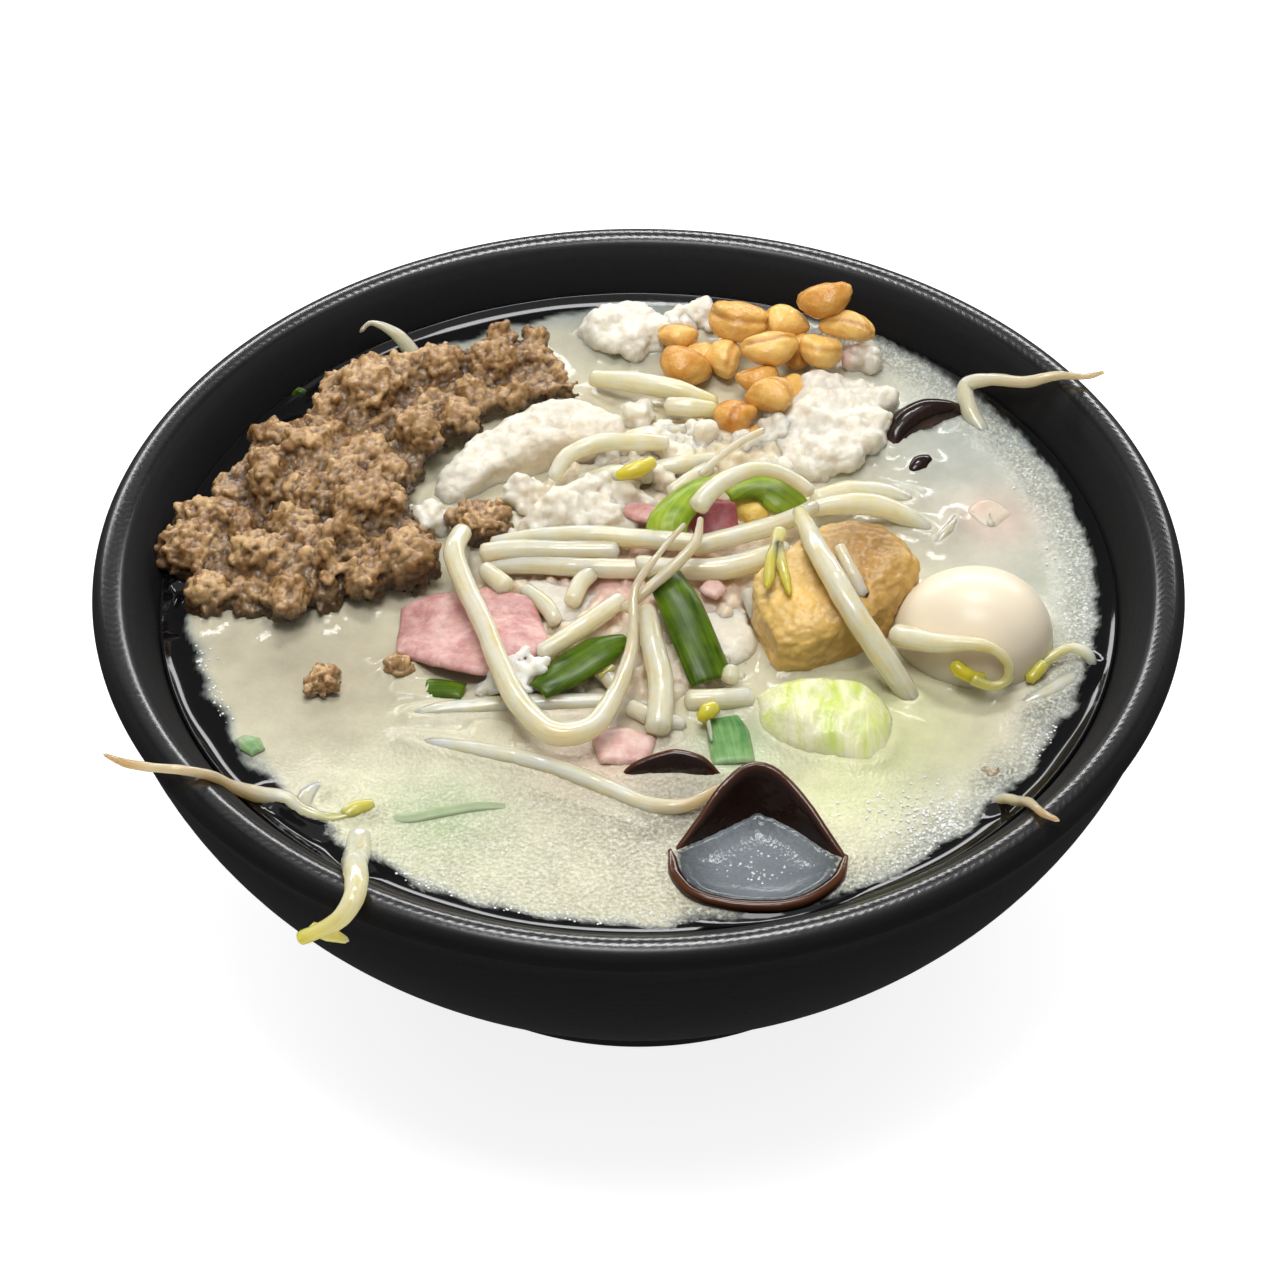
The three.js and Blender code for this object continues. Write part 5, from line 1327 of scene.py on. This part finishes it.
def make_loose_flakes(tree):
    """Flakes of fish heaped between the larger pieces, each of three fused balls."""
    points, faces = [], []
    for seed, (x, y, lift, radius) in enumerate(LOOSE_FLAKES):
        for part in range(3):
            draw = np.random.RandomState(seed * 3 + part)
            shift = draw.uniform(-0.7, 0.7, 3) * radius * (part > 0)
            spot = np.array([x, y, BROTH_LEVEL + lift]) + shift
            some, those = ball(spot, radius * (0.9 if part == 0 else 0.62), seed * 3 + part)
            faces.extend([c + sum(map(len, points)) for c in face] for face in those)
            points.append(some)
    mesh = mesh_of("loose_flakes", np.vstack(points) * MM, faces)
    flakes = link(bpy.data.objects.new("loose_flakes", outward(mesh)))
    flesh = poached_fish()
    refined(flakes, 0.7, 2)
    shape_by(flakes, crumbled_tree(), spacing=1.9 * MM, smallest=0.8 * MM, largest=2.2 * MM,
             sunk=1.1 * MM, seed=SEED, finish=flesh)
    refined(flakes, 0.55, 2)
    shape_by(flakes, tree, lump_size=5 * MM, lump_depth=1.0 * MM, crumb_size=2.2 * MM,
             crumb_depth=0.6 * MM, grain_size=0.9 * MM, grain_depth=0.3 * MM, shift=60.0,
             finish=flesh)
    plain(flakes)
    tinted(flakes, FISH_BASE, [[-20, 20, 4, 0xe7d9bd, 0.6], [2, 24, 5, 0xe8d6bf, 0.5],
                               [12, 31, 6, 0xead9b4, 0.6]])
    dress(flakes)


def make_fish(tree):
    """The larger pieces of fish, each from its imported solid."""
    flesh = poached_fish()
    crumbs = crumbled_tree()
    for shift, (name, (lumps, crumb, loose)) in enumerate(FISH_PIECES.items()):
        chunk = refined(copy_of(name), 0.8, 4)
        if loose == "large":
            shape_by(chunk, crumbs, spacing=3.2 * MM, smallest=2.4 * MM, largest=4.4 * MM,
                     sunk=3.2 * MM, seed=SEED + shift, finish=flesh)
            refined(chunk, 0.7, 2)
        if loose == "small":
            shape_by(chunk, crumbs, spacing=1.8 * MM, smallest=0.6 * MM, largest=1.6 * MM,
                     sunk=1.0 * MM, seed=SEED + shift, finish=flesh)
        refined(chunk, 0.5, 2)
        shape_by(chunk, tree, lump_size=4.6 * MM, lump_depth=1.1 * lumps * MM, crumb_size=1.9 * MM,
                 crumb_depth=0.7 * crumb * MM, grain_size=0.9 * MM,
                 grain_depth=0.35 * MM, shift=float(shift), finish=flesh)
        plain(chunk)
        tinted(chunk, FISH_BASE, FISH_TONES_AND_SHADE)
        dress(chunk, [name])


# tones of the tofu: painted light on its left facets and painted shade on its right ones
TOFU_PAINTED_LIGHT_AND_SHADE = [
    [25, -4, 9, 0xf7dc94, 0.9], [36, 6, 9, 0xf5da96, 0.8], [44, 2, 11, 0x8f6426, 0.9],
    [40, -8, 10, 0x9a6e2c, 0.8], [30, -14, 6, 0xecc470, 0.7],
]


def make_tofu(tree):
    """The fried tofu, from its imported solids."""
    golden = fried_tofu_skin()
    for shift, name in enumerate(["tofu_puff", "tofu_small"]):
        block = refined(copy_of(name), 0.45, 1)
        shape_by(block, tree, lump_size=6 * MM, lump_depth=0.9 * MM, crumb_size=1.7 * MM,
                 crumb_depth=0.35 * MM, grain_size=0.8 * MM, grain_depth=0.25 * MM,
                 shift=float(shift + 20), finish=golden)
        plain(block)
        tinted(block, 0xecc472 if name == "tofu_puff" else 0xf0cf66, TOFU_PAINTED_LIGHT_AND_SHADE)
        dress(block, [name])


def pits(thing):
    """How far each point lies below the mean height of the tops around it, mm."""
    place = points_of(thing)
    margin, empty = 6, -1e3
    low = place[:, :2].min(0) - margin
    cell = (place[:, :2] - low).astype(int)
    tops = np.full(cell.max(0) + margin + 1, empty)
    np.maximum.at(tops, (cell[:, 0], cell[:, 1]), place[:, 2])
    known = (tops > empty).astype(float)
    sums, weights = tops * known, known
    for _ in range(4):
        for axis in (0, 1):
            sums = sum(np.roll(sums, step, axis) for step in (-2, -1, 0, 1, 2))
            weights = sum(np.roll(weights, step, axis) for step in (-2, -1, 0, 1, 2))
    mean = sums / np.maximum(weights, 1e-6)
    return mean[cell[:, 0], cell[:, 1]] - place[:, 2]


def make_mince(tree):
    """The minced meat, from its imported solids: clumps first, then crumbs on them."""
    meat = stewed_mince()
    crumbs = crumbled_tree()
    sizes = {"mince_heap": 0.5, "mince_lump_middle": 0.36, "mince_lump_ham": 0.36,
             "mince_lump_soup": 0.36}
    for shift, (name, voxel) in enumerate(sizes.items()):
        heap = refined(copy_of(name), 0.9, 3)
        if name == "mince_heap":
            shape_by(heap, crumbs, spacing=8.4 * MM, smallest=2.6 * MM, largest=7.0 * MM,
                     sunk=5.2 * MM, seed=SEED, finish=meat)
            refined(heap, 0.8, 1)
        shape_by(heap, crumbs, spacing=1.9 * MM, smallest=0.5 * MM, largest=1.6 * MM,
                 sunk=0.5 * MM, seed=SEED + shift, finish=meat)
        refined(heap, voxel, 1)
        shape_by(heap, tree, lump_size=3 * MM, lump_depth=0.4 * MM, crumb_size=1.2 * MM,
                 crumb_depth=0.65 * MM, grain_size=0.6 * MM, grain_depth=0.35 * MM,
                 shift=float(shift + 30), finish=meat)
        plain(heap)
        # how deep each point lies among its neighbours, for the painted shade in the mince's gaps
        keep(heap.data, "pit", pits(heap).astype(np.float32))
        dress(heap, [name])


# ---- The bed of flakes under the pile ----
BED_OUTLINE = [
    [-34, 2], [-36, 14], [-30, 24], [-20, 36], [-8, 46], [4, 54], [16, 56], [30, 52], [34, 38],
    [32, 26], [38, 20], [42, 8], [34, -4], [28, -14], [24, -26], [14, -34], [2, -38], [-8, -38],
    [-18, -33], [-26, -26], [-34, -12]]
# tones of the bed: the pink ones are bits of ham, the beige-brown ones painted shade
BED_TONES_AND_SHADE = [
    [-9, 5, 10, 0xe2b3a6, 0.8], [-18, 6, 7, 0xdcb59f, 0.6], [8, 5, 8, 0xdfab9f, 0.6],
    [-3, -4, 9, 0xe4b9ad, 0.8], [12, 14, 8, 0xd8a68f, 0.6], [14, -4, 8, 0xe0bda9, 0.6],
    [20, 44, 12, 0xdcc79a, 0.6], [0, 40, 12, 0xe8dcc0, 0.5], [26, 20, 7, 0xe2cf8a, 0.6],
    [4, -30, 12, 0xe0cdb6, 0.6], [-30, -4, 8, 0xc9a77e, 0.5],
]
BED_BASE = 0xe9dec4
BED_STEP = 1.0                # between the points of the bed, mm
BED_TOP = 5.6                 # above the broth
BED_EDGE = -2.5               # where its edge lies, under the broth
BED_FLOOR = -5
BED_CLEARANCE = 0.9           # left under what lies on the bed
BED_ROUNDS = 220              # of smoothing, until it has settled
BED_SWELL = 0.05              # gained in each round, so that it fills out


def inside(outline, x, y):
    """Which points lie inside a closed outline."""
    result = np.zeros(np.broadcast(x, y).shape, bool)
    for (ax, ay), (bx, by) in zip(outline, outline[1:] + outline[:1]):
        crosses = (ay > y) != (by > y)
        with np.errstate(divide="ignore", invalid="ignore"):
            result ^= crosses & (x < (bx - ax) * (y - ay) / (by - ay) + ax)
    return result


def make_bed(tree):
    """Small flakes heaped under the pile, as high as what lies on them lets them be."""
    x = np.arange(-40, 46, BED_STEP)
    y = np.arange(-42, 60, BED_STEP)
    cap = np.full((len(y), len(x)), BROTH_LEVEL + BED_TOP)
    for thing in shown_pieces():
        if not thing.name.endswith(("_stem", "_slice")) and "pile" not in thing.name:
            continue
        place = points_of(thing)
        column = np.round((place[:, 0] - x[0]) / BED_STEP).astype(int)
        row = np.round((place[:, 1] - y[0]) / BED_STEP).astype(int)
        near = (column >= 0) & (column < len(x)) & (row >= 0) & (row < len(y))
        np.minimum.at(cap, (row[near], column[near]), place[near, 2] - BED_CLEARANCE)
    held = ~inside(BED_OUTLINE, x[None], y[:, None])
    height = np.full(cap.shape, BROTH_LEVEL + BED_EDGE)
    for _ in range(BED_ROUNDS):
        around = (np.roll(height, 1, 0) + np.roll(height, -1, 0) + np.roll(height, 1, 1)
                  + np.roll(height, -1, 1)) / 4
        height = np.where(held, BROTH_LEVEL + BED_EDGE, np.minimum(around + BED_SWELL, cap))
    grid = np.stack(np.broadcast_arrays(x[None], y[:, None], height), -1)
    floor = grid.copy()
    floor[..., 2] = BROTH_LEVEL + BED_FLOOR
    points = np.vstack([grid.reshape(-1, 3), floor.reshape(-1, 3)]) * MM
    mesh = outward(mesh_of("flake_bed", points, sheet_faces(*height.shape)))
    bed = link(bpy.data.objects.new("flake_bed", mesh))
    flesh = poached_fish()
    shape_by(bed, crumbled_tree(), spacing=2.6 * MM, smallest=0.5 * MM, largest=1.6 * MM,
             sunk=0.5 * MM, seed=SEED, finish=flesh)
    refined(bed, 0.7, 1)
    shape_by(bed, tree, lump_size=6 * MM, lump_depth=0.5 * MM, crumb_size=2.4 * MM,
             crumb_depth=0.8 * MM, grain_size=0.9 * MM, grain_depth=0.3 * MM, shift=50.0,
             finish=flesh)
    plain(bed)
    tinted(bed, BED_BASE, BED_TONES_AND_SHADE)
    dress(bed)


# ---- Soybeans ----
SOYBEANS = [                    # x, y, lift, length, width, turn in degrees, tone 0 to 1
    [38.3, 75.2, 13.4, 11.6, 8, 12, 0.1], [20.4, 73.8, 8.6, 13, 9.4, -14, 0.4],
    [30, 75.6, 7.6, 9.6, 8, 24, 0.8], [43, 72, 9.4, 11.6, 6.6, -16, 0.5],
    [8.3, 73.6, 5, 8.6, 6.2, 12, 0.4], [9.4, 64, 5, 10.8, 9, -20, 0.2],
    [17.3, 67.6, 4.6, 8.4, 7.4, 70, 0.7], [27.2, 64.8, 9, 12, 8.2, 20, 0.6],
    [37.2, 66.2, 7, 9.2, 8.2, -5, 0.7], [24.6, 58.8, 6, 9.4, 6.2, 24, 0.2],
    [26.9, 52.4, 7.6, 10.4, 8.4, -28, 0.4], [19, 47.6, 5.6, 9.6, 8, 58, 0.1],
    [23.4, 43.8, 4.4, 4.6, 3.2, 30, 0], [33.2, 70.6, 4, 9, 7, 40, 0.3],
    [13.6, 70, 2.6, 8, 7, -40, 0.5], [30.6, 58.4, 3.4, 8, 7, 80, 0.4],
]
BEAN_DEPTH = 0.82


def bean_points(bean, seed):
    """One soybean: two plump halves with a crease between, bent a little along its length."""
    x, y, lift, length, width, turn, _ = bean
    draw = np.random.RandomState(seed)
    unit = sphere_grid(48, 24)
    tilt = draw.uniform(-0.9, 0.9)
    seam = unit[..., 1] * math.cos(tilt) + unit[..., 2] * math.sin(tilt)
    crease = np.exp(-(seam / 0.2) ** 2) * np.clip(unit[..., 2] + 0.4, 0, 1)
    reach = 1 - draw.uniform(0.04, 0.18) * crease + 0.1 * waviness(unit * 4, seed, 5)
    reach += 0.035 * waviness(unit * 4, seed + 50, 1.7)
    solid = unit * reach[..., None] * np.array([length, width, width * BEAN_DEPTH]) / 2
    solid[..., 1] += 0.2 * width * (2 * solid[..., 0] / length) ** 2 * draw.choice([-1, 1])
    solid[..., 1] *= 1 - 0.16 * solid[..., 0] / length
    solid[..., 2] += 0.16 * solid[..., 0] * draw.uniform(-1, 1)
    return turned(solid, turn) + [x, y, BROTH_LEVEL + lift], crease


def make_soybeans():
    """The fried soybeans, as one piece."""
    points, faces, creases, tones = [], [], [], []
    for i, bean in enumerate(SOYBEANS):
        grid, crease = bean_points(bean, SEED + i)
        faces += ring_faces(*crease.shape, len(points))
        points.extend(grid.reshape(-1, 3) * MM)
        creases.extend(crease.ravel())
        tones.extend([bean[-1]] * crease.size)
    mesh = merged(mesh_of("fried_soybeans", points, faces, {
        "crease": creases, "tone": tones}))
    piece("fried_soybeans", outward(mesh), fried_soybean_skin(), ["soybean_heap"])


# ---- Egg ----
def make_egg():
    """The quail egg, a little narrower at one end."""
    unit = sphere_grid(96, 48)
    narrow = 1 - 0.07 * unit[..., 0]
    solid = unit * np.array(EGG_SIZE) / 2
    solid[..., 1:] *= narrow[..., None]
    grid = turned(solid, EGG_TURN) + EGG_CENTRE
    faces = ring_faces(*grid.shape[:2])
    mesh = outward(merged(mesh_of("quail_egg_white", grid.reshape(-1, 3) * MM, faces)))
    piece("quail_egg_white", mesh, boiled_egg_white(), ["quail_egg"])


# ---- Broth ----
# [x, y, radius, colour, strength]: where the broth takes another tone
BROTH_TONES = [
    [-30, -70, 40, 0xd9d9bb, 0.8], [60, 45, 30, 0xb3bab6, 0.9], [78, 5, 26, 0xb9bcb0, 0.8],
    [42, -52, 16, 0xdde1a2, 0.8], [45, -38, 16, 0xd8dda0, 0.6], [-62, -26, 20, 0xb5ab93, 0.8],
    [10, -60, 12, 0x9b978a, 0.8], [70, 23, 8, 0xd9b8ab, 0.7], [60, -66, 20, 0xbfc0b3, 0.7],
    # the blue-grey tone at the back, at [0, 82], is a painted reflection of the surroundings
    [0, 82, 16, 0x86918f, 0.8], [-75, -40, 18, 0xc2bda7, 0.6], [20, 30, 40, 0xd6caa6, 0.5],
    [-8, -46, 12, 0xd6b3a4, 0.6], [18, -42, 8, 0x9fbd92, 0.6], [-50, -57, 9, 0xd6d8a8, 0.35],
    [-36, -60, 10, 0xa6bf8c, 0.6], [-25, -36, 14, 0xb7ae94, 0.5],
]
THIN_BROTH = 0x8f9897         # bluish, where it thins towards the wall; at the back partly a painted reflection
CUP_BROTH = 0x7f868b          # thinner broth caught in the wood ear
CLEAR_AND_SHADED_BROTH = 0x0b0b0c        # near-black at the wall: partly the black bowl seen through clear broth, partly painted shade from the wall and the mince
# [angle in degrees, width of the dark edge there, of clear broth and painted shade, mm]
CLEAR_AND_SHADED_EDGE = [[-180, 5.5], [-170, 7], [-151, 8], [-135, 6.4], [-121, 6], [-107, 6], [-83, 5.2],
              [-60, 4.4], [-38, 6], [-23, 6], [-8, 4.4], [11, 3.4], [43, 2], [57, 1], [82, 2],
              [95, 3.4], [109, 6], [125, 8], [144, 8], [161, 6], [180, 5.5]]
# [angle in degrees, width of the thin bluish broth inside that edge, mm]
THIN_EDGE = [[-180, 2], [-100, 2], [-75, 3], [-50, 7], [-20, 9], [10, 9], [45, 8], [80, 6],
             [110, 6], [150, 4], [180, 2]]
CUP_MIDDLE, CUP_REACH = (22, -72.5), (15, 11.5)     # of the broth in the wood ear
FROTH_MIDDLE, FROTH_REACH = (-12, -74), (60, 24)    # of the froth along the front


def broth_profile():
    """The bowl's inner wall up to the broth's level, reaching just into the wall."""
    wall = INNER_WALL[::-1]
    below = wall[wall[:, 1] < BROTH_LEVEL]
    above = wall[len(below)]
    share = (BROTH_LEVEL - below[-1, 1]) / (above[1] - below[-1, 1])
    edge = below[-1] + (above - below[-1]) * share
    profile = np.vstack([below, edge])
    profile[1:, 0] += BROTH_OVERLAP
    profile[0] = [0, FLOOR_HEIGHT]
    return profile


def distances(points, standing):
    """How far each point of the surface is from what stands in the broth."""
    tree = kdtree.KDTree(len(standing))
    for i, (x, y) in enumerate(standing):
        tree.insert((x, y, 0), i)
    tree.balance()
    return np.array([tree.find((x, y, 0))[2] for x, y in points])


# the slice of a topping that counts as passing through the surface: where its middle lies
# above the broth's level, and how far it reaches either way
SURFACE_ABOVE = 0.4
SURFACE_REACH = 0.7
# what floats, and so lifts no broth up its sides
AFLOAT = ["leek_sunk_slice", "ham_sunk_slice", "leek_under_broth", "ham_bits_afloat",
          "leek_scrap", "flake_bed", "mince_lump_soup_finished"]


def standing_outlines():
    """Points where the toppings pass through the broth's surface, in millimetres."""
    found = []
    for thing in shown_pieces():
        if thing.name.startswith(("bowl", "broth")) or thing.name in AFLOAT:
            continue
        points = points_of(thing)
        near = np.abs(points[:, 2] - BROTH_LEVEL - SURFACE_ABOVE) < SURFACE_REACH
        found.append(points[near][:, :2])
    return np.vstack(found)


def open_surface(angles, radius):
    """The broth's open surface, ring by ring, climbing the wall and what stands in it."""
    radii = np.linspace(0.5, radius, BROTH_RINGS)
    x, y = np.outer(radii, np.cos(angles)), np.outer(radii, np.sin(angles))
    flat = np.stack([x.ravel(), y.ravel()], 1)
    distance = distances(flat, standing_outlines())
    wall_distance = np.repeat(radius - BROTH_OVERLAP - radii, len(angles))
    nearest = np.minimum(distance, np.maximum(wall_distance, 0))
    climb = MENISCUS_HEIGHT * np.exp(-nearest / MENISCUS_WIDTH)
    ripple = BROTH_RIPPLE * waviness(np.column_stack([flat, flat[:, 0] * 0]), 3, 14)
    return np.column_stack([flat, BROTH_LEVEL + climb + ripple])


def broth_colours(place, radius):
    """The broth's colour and share of froth at each place: near-black at the wall, partly
    clear broth over the black bowl and partly painted shade, then bluish, at the back partly a
    painted reflection, thinner in the wood ear's cup, and milky elsewhere."""
    colour = toned(np.tile(linear(BROTH_BASE)[:3], (len(place), 1)), place, BROTH_TONES)
    around = np.degrees(np.arctan2(place[:, 1], place[:, 0]))
    clear = np.interp(around, *np.array(CLEAR_AND_SHADED_EDGE, float).T)
    thin = np.interp(around, *np.array(THIN_EDGE, float).T)
    inward = radius - np.hypot(*place.T)
    spread = np.column_stack([place, place[:, 0] * 0])
    clear = clear * (1 + 0.28 * waviness(spread, 9, 9)) + 0.5 * waviness(spread, 10, 2.2)
    bluish = np.clip(1 - (inward - clear) / thin, 0, 1) * 0.8
    colour += (np.array(linear(THIN_BROTH)[:3]) - colour) * bluish[:, None]
    cup = inside([p[:2] for p in CUP_RIM + CUP_FRONT[::-1]], place[:, 0], place[:, 1])
    shade = np.clip(np.hypot(*((place - CUP_MIDDLE) / CUP_REACH).T), 0, 1) ** 3
    veil = np.array(linear(CUP_BROTH)[:3]) * (1 - 0.75 * shade[:, None])
    colour = np.where(cup[:, None], veil, colour)
    # near-black edge: partly clear broth over the black bowl, partly painted shade
    dark = np.clip((clear + 0.7 - inward) / 1.4, 0, 1)
    colour += (np.array(linear(CLEAR_AND_SHADED_BROTH)[:3]) - colour) * dark[:, None]
    # froth along the front, and in a band by the right wall; hardly any in the cup
    front = np.exp(-((place - FROTH_MIDDLE) ** 2 / np.square(FROTH_REACH)).sum(1))
    right = np.exp(-((inward - clear - 3) / 4) ** 2) * (np.abs(around + 10) < 75)
    froth = np.where(cup, 0.06, np.clip(front + 0.8 * right + 0.03, 0, 1)) * (1 - dark)
    return colour, froth


def make_broth():
    """The broth: its open surface and its sunk walls."""
    profile = broth_profile()
    radius = profile[-1, 0]
    sides = BROTH_SIDES
    angles = np.arange(sides) / sides * 2 * math.pi
    below = profile[-2:0:-1]
    wall = np.stack([np.outer(below[:, 0], np.cos(angles)), np.outer(below[:, 0], np.sin(angles)),
                     np.repeat(below[:, 1:], sides, 1)], -1).reshape(-1, 3)
    points = np.vstack([open_surface(angles, radius), wall, [0, 0, BROTH_LEVEL],
                        [0, 0, FLOOR_HEIGHT]]) * MM
    total = BROTH_RINGS + len(below)
    faces = ring_faces(total, sides)
    top, bottom = total * sides, total * sides + 1
    faces += [(top, j, (j + 1) % sides) for j in range(sides)]
    last = (total - 1) * sides
    faces += [(bottom, last + (j + 1) % sides, last + j) for j in range(sides)]
    colour, froth = broth_colours(points[:, :2] / MM, radius)
    values = {"tint": np.column_stack([colour, np.ones(len(points))]), "froth": froth}
    mesh = outward(mesh_of("fish_broth", points, faces, values))
    piece("fish_broth", mesh, milky_fish_broth(), ["broth"])


# ---- Bubbles ----
def bubble_tree():
    """Small wet domes on given points, each as wide as its point says."""
    tree, given = shape_tree("bubbles", finish=None)
    ball = add(tree, "GeometryNodeMeshIcoSphere", {"Radius": 1.0, "Subdivisions": 2})
    dome = add(tree, "GeometryNodeTransform", {
        "Geometry": ball.outputs[0], "Scale": (1.0, 1.0, 0.55)})
    width = add(tree, "GeometryNodeInputNamedAttribute", {"Name": "size"})
    spots = add(tree, "GeometryNodeMeshToPoints", {"Mesh": given["shape"]})
    domes = add(tree, "GeometryNodeInstanceOnPoints", {
        "Points": spots.outputs[0], "Instance": dome.outputs[0],
        "Scale": width.outputs["Attribute"]})
    return end_tree(tree, domes.outputs[0], given["finish"])


# [start and end angle in degrees, how many, how far they spread inwards in mm]
FROTH_ARCS = [[-72, 40, 1100, 3.4], [-130, -75, 260, 2.2], [150, 205, 160, 1.6]]
CUP_BUBBLES = 260
FRONT_BUBBLES = 350


def make_bubbles():
    """Froth: bubbles gathered where the broth thins towards the wall, and in the wood ear."""
    draw = np.random.RandomState(SEED)
    radius = broth_profile()[-1, 0]
    points, sizes = [], []
    for start, end, count, spread in FROTH_ARCS:
        for _ in range(count):
            angle = draw.uniform(start, end)
            clear = np.interp((angle + 180) % 360 - 180, *np.array(CLEAR_AND_SHADED_EDGE, float).T)
            reach = radius - clear - abs(draw.normal(0, spread)) + 0.8
            angle = math.radians(angle)
            points.append((reach * math.cos(angle), reach * math.sin(angle)))
            sizes.append(draw.uniform(0.12, 0.42) ** 1.2)
    for _ in range(CUP_BUBBLES):
        points.append((draw.uniform(9, 35), draw.uniform(-82, -63)))
        sizes.append(draw.uniform(0.1, 0.3))
    for _ in range(FRONT_BUBBLES):
        points.append((draw.normal(58, 8), draw.normal(-60, 5)))
        sizes.append(draw.uniform(0.1, 0.36))
    kept = [i for i, (x, y) in enumerate(points) if math.hypot(x, y) < radius - 1.2]
    mesh = bpy.data.meshes.new("froth")
    mesh.from_pydata([(points[i][0] * MM, points[i][1] * MM, (BROTH_LEVEL + 0.12) * MM)
                      for i in kept], [], [])
    keep(mesh, "size", [sizes[i] * MM for i in kept])
    froth = link(bpy.data.objects.new("froth_bubbles", mesh))
    shape_by(froth, bubble_tree(), finish=broth_bubble())
    dress(plain(froth))


# ---- Stage ----
# all in metres, power in watts: name, place, size, power
LAMPS = [
    ["overhead_softbox", (0, -0.05, 1.3), (1.4, 1.2), 4],
    ["ceiling_panel", (-0.08, -0.2, 1.22), (0.5, 0.3), 6],
    ["glint_panel", (0.02, 0.44, 1.18), (0.44, 0.2), 5.5],
    ["back_strip", (0, 1.5, 0.74), (2.6, 0.2), 18],
]
LAMP_TARGET = (0, 0, 0.06)
FLOOR_REACH = 3.0


def face(thing, target):
    """Turns a camera or a lamp to face a point."""
    thing.rotation_euler = (target - thing.location).to_track_quat("-Z", "Y").to_euler()


def make_camera():
    """The camera, at the photograph's angle."""
    camera_data = bpy.data.cameras.new("camera")
    camera = link(bpy.data.objects.new("camera", camera_data))
    aim = Vector(CAMERA_AIM) * MM
    elevation = math.radians(CAMERA_ELEVATION)
    away = Vector((0, -math.cos(elevation), math.sin(elevation)))
    camera.location = aim + away * CAMERA_DISTANCE * MM
    face(camera, aim)
    camera_data.lens = 125
    camera_data.sensor_width = 36
    camera_data.clip_start = 0.05
    bpy.context.scene.camera = camera


def make_lamps():
    """Soft lamps above and behind, which give the wet food its glints."""
    for name, place, size, power in LAMPS:
        lamp_data = bpy.data.lights.new(name, "AREA")
        lamp_data.shape = "RECTANGLE"
        lamp_data.size, lamp_data.size_y = size
        lamp_data.energy = power
        lamp = link(bpy.data.objects.new(name, lamp_data))
        lamp.location = place
        face(lamp, Vector(LAMP_TARGET))


def make_studio():
    """Even white light from all round."""
    world = bpy.data.worlds.new("studio")
    world.use_nodes = True
    background = world.node_tree.nodes["Background"]
    background.inputs["Color"].default_value = linear(0xf4f6fa)
    background.inputs["Strength"].default_value = 0.22
    bpy.context.scene.world = world
    bpy.context.scene.view_settings.view_transform = "Standard"


def make_floor():
    """A plain pale floor."""
    material, tree, skin = new_finish("matt_white_floor")
    place = add(tree, "ShaderNodeTexCoord").outputs["Object"]
    tone = add(tree, "ShaderNodeTexNoise", {"Vector": place, "Scale": per(400)})
    shade = add(tree, "ShaderNodeMix", {
        0: tone.outputs[0], 6: linear(0xbcbcbc), 7: linear(0xc2c2c2)}, data_type="RGBA")
    settle(skin, Base_Color=shade.outputs[2],
           Roughness=0.8, Emission_Color=linear(0xffffff), Emission_Strength=0.84)
    half = FLOOR_REACH
    floor = link(bpy.data.objects.new("floor", mesh_of(
        "floor", [(-half, -half, 0), (half, -half, 0), (half, half, 0), (-half, half, 0)],
        [(0, 1, 2, 3)])))
    floor.data.materials.append(material)
    floor.visible_glossy = False
    floor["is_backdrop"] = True


make_camera()
make_lamps()
make_studio()
make_floor()
make_bowl()
make_sprouts()
make_leaves()
crumbly = crumbly_tree()
make_fish(crumbly)
make_tofu(crumbly)
make_mince(crumbly)
make_loose_flakes(crumbly)
make_bed(crumbly)
make_soybeans()
make_egg()
make_broth()
make_bubbles()
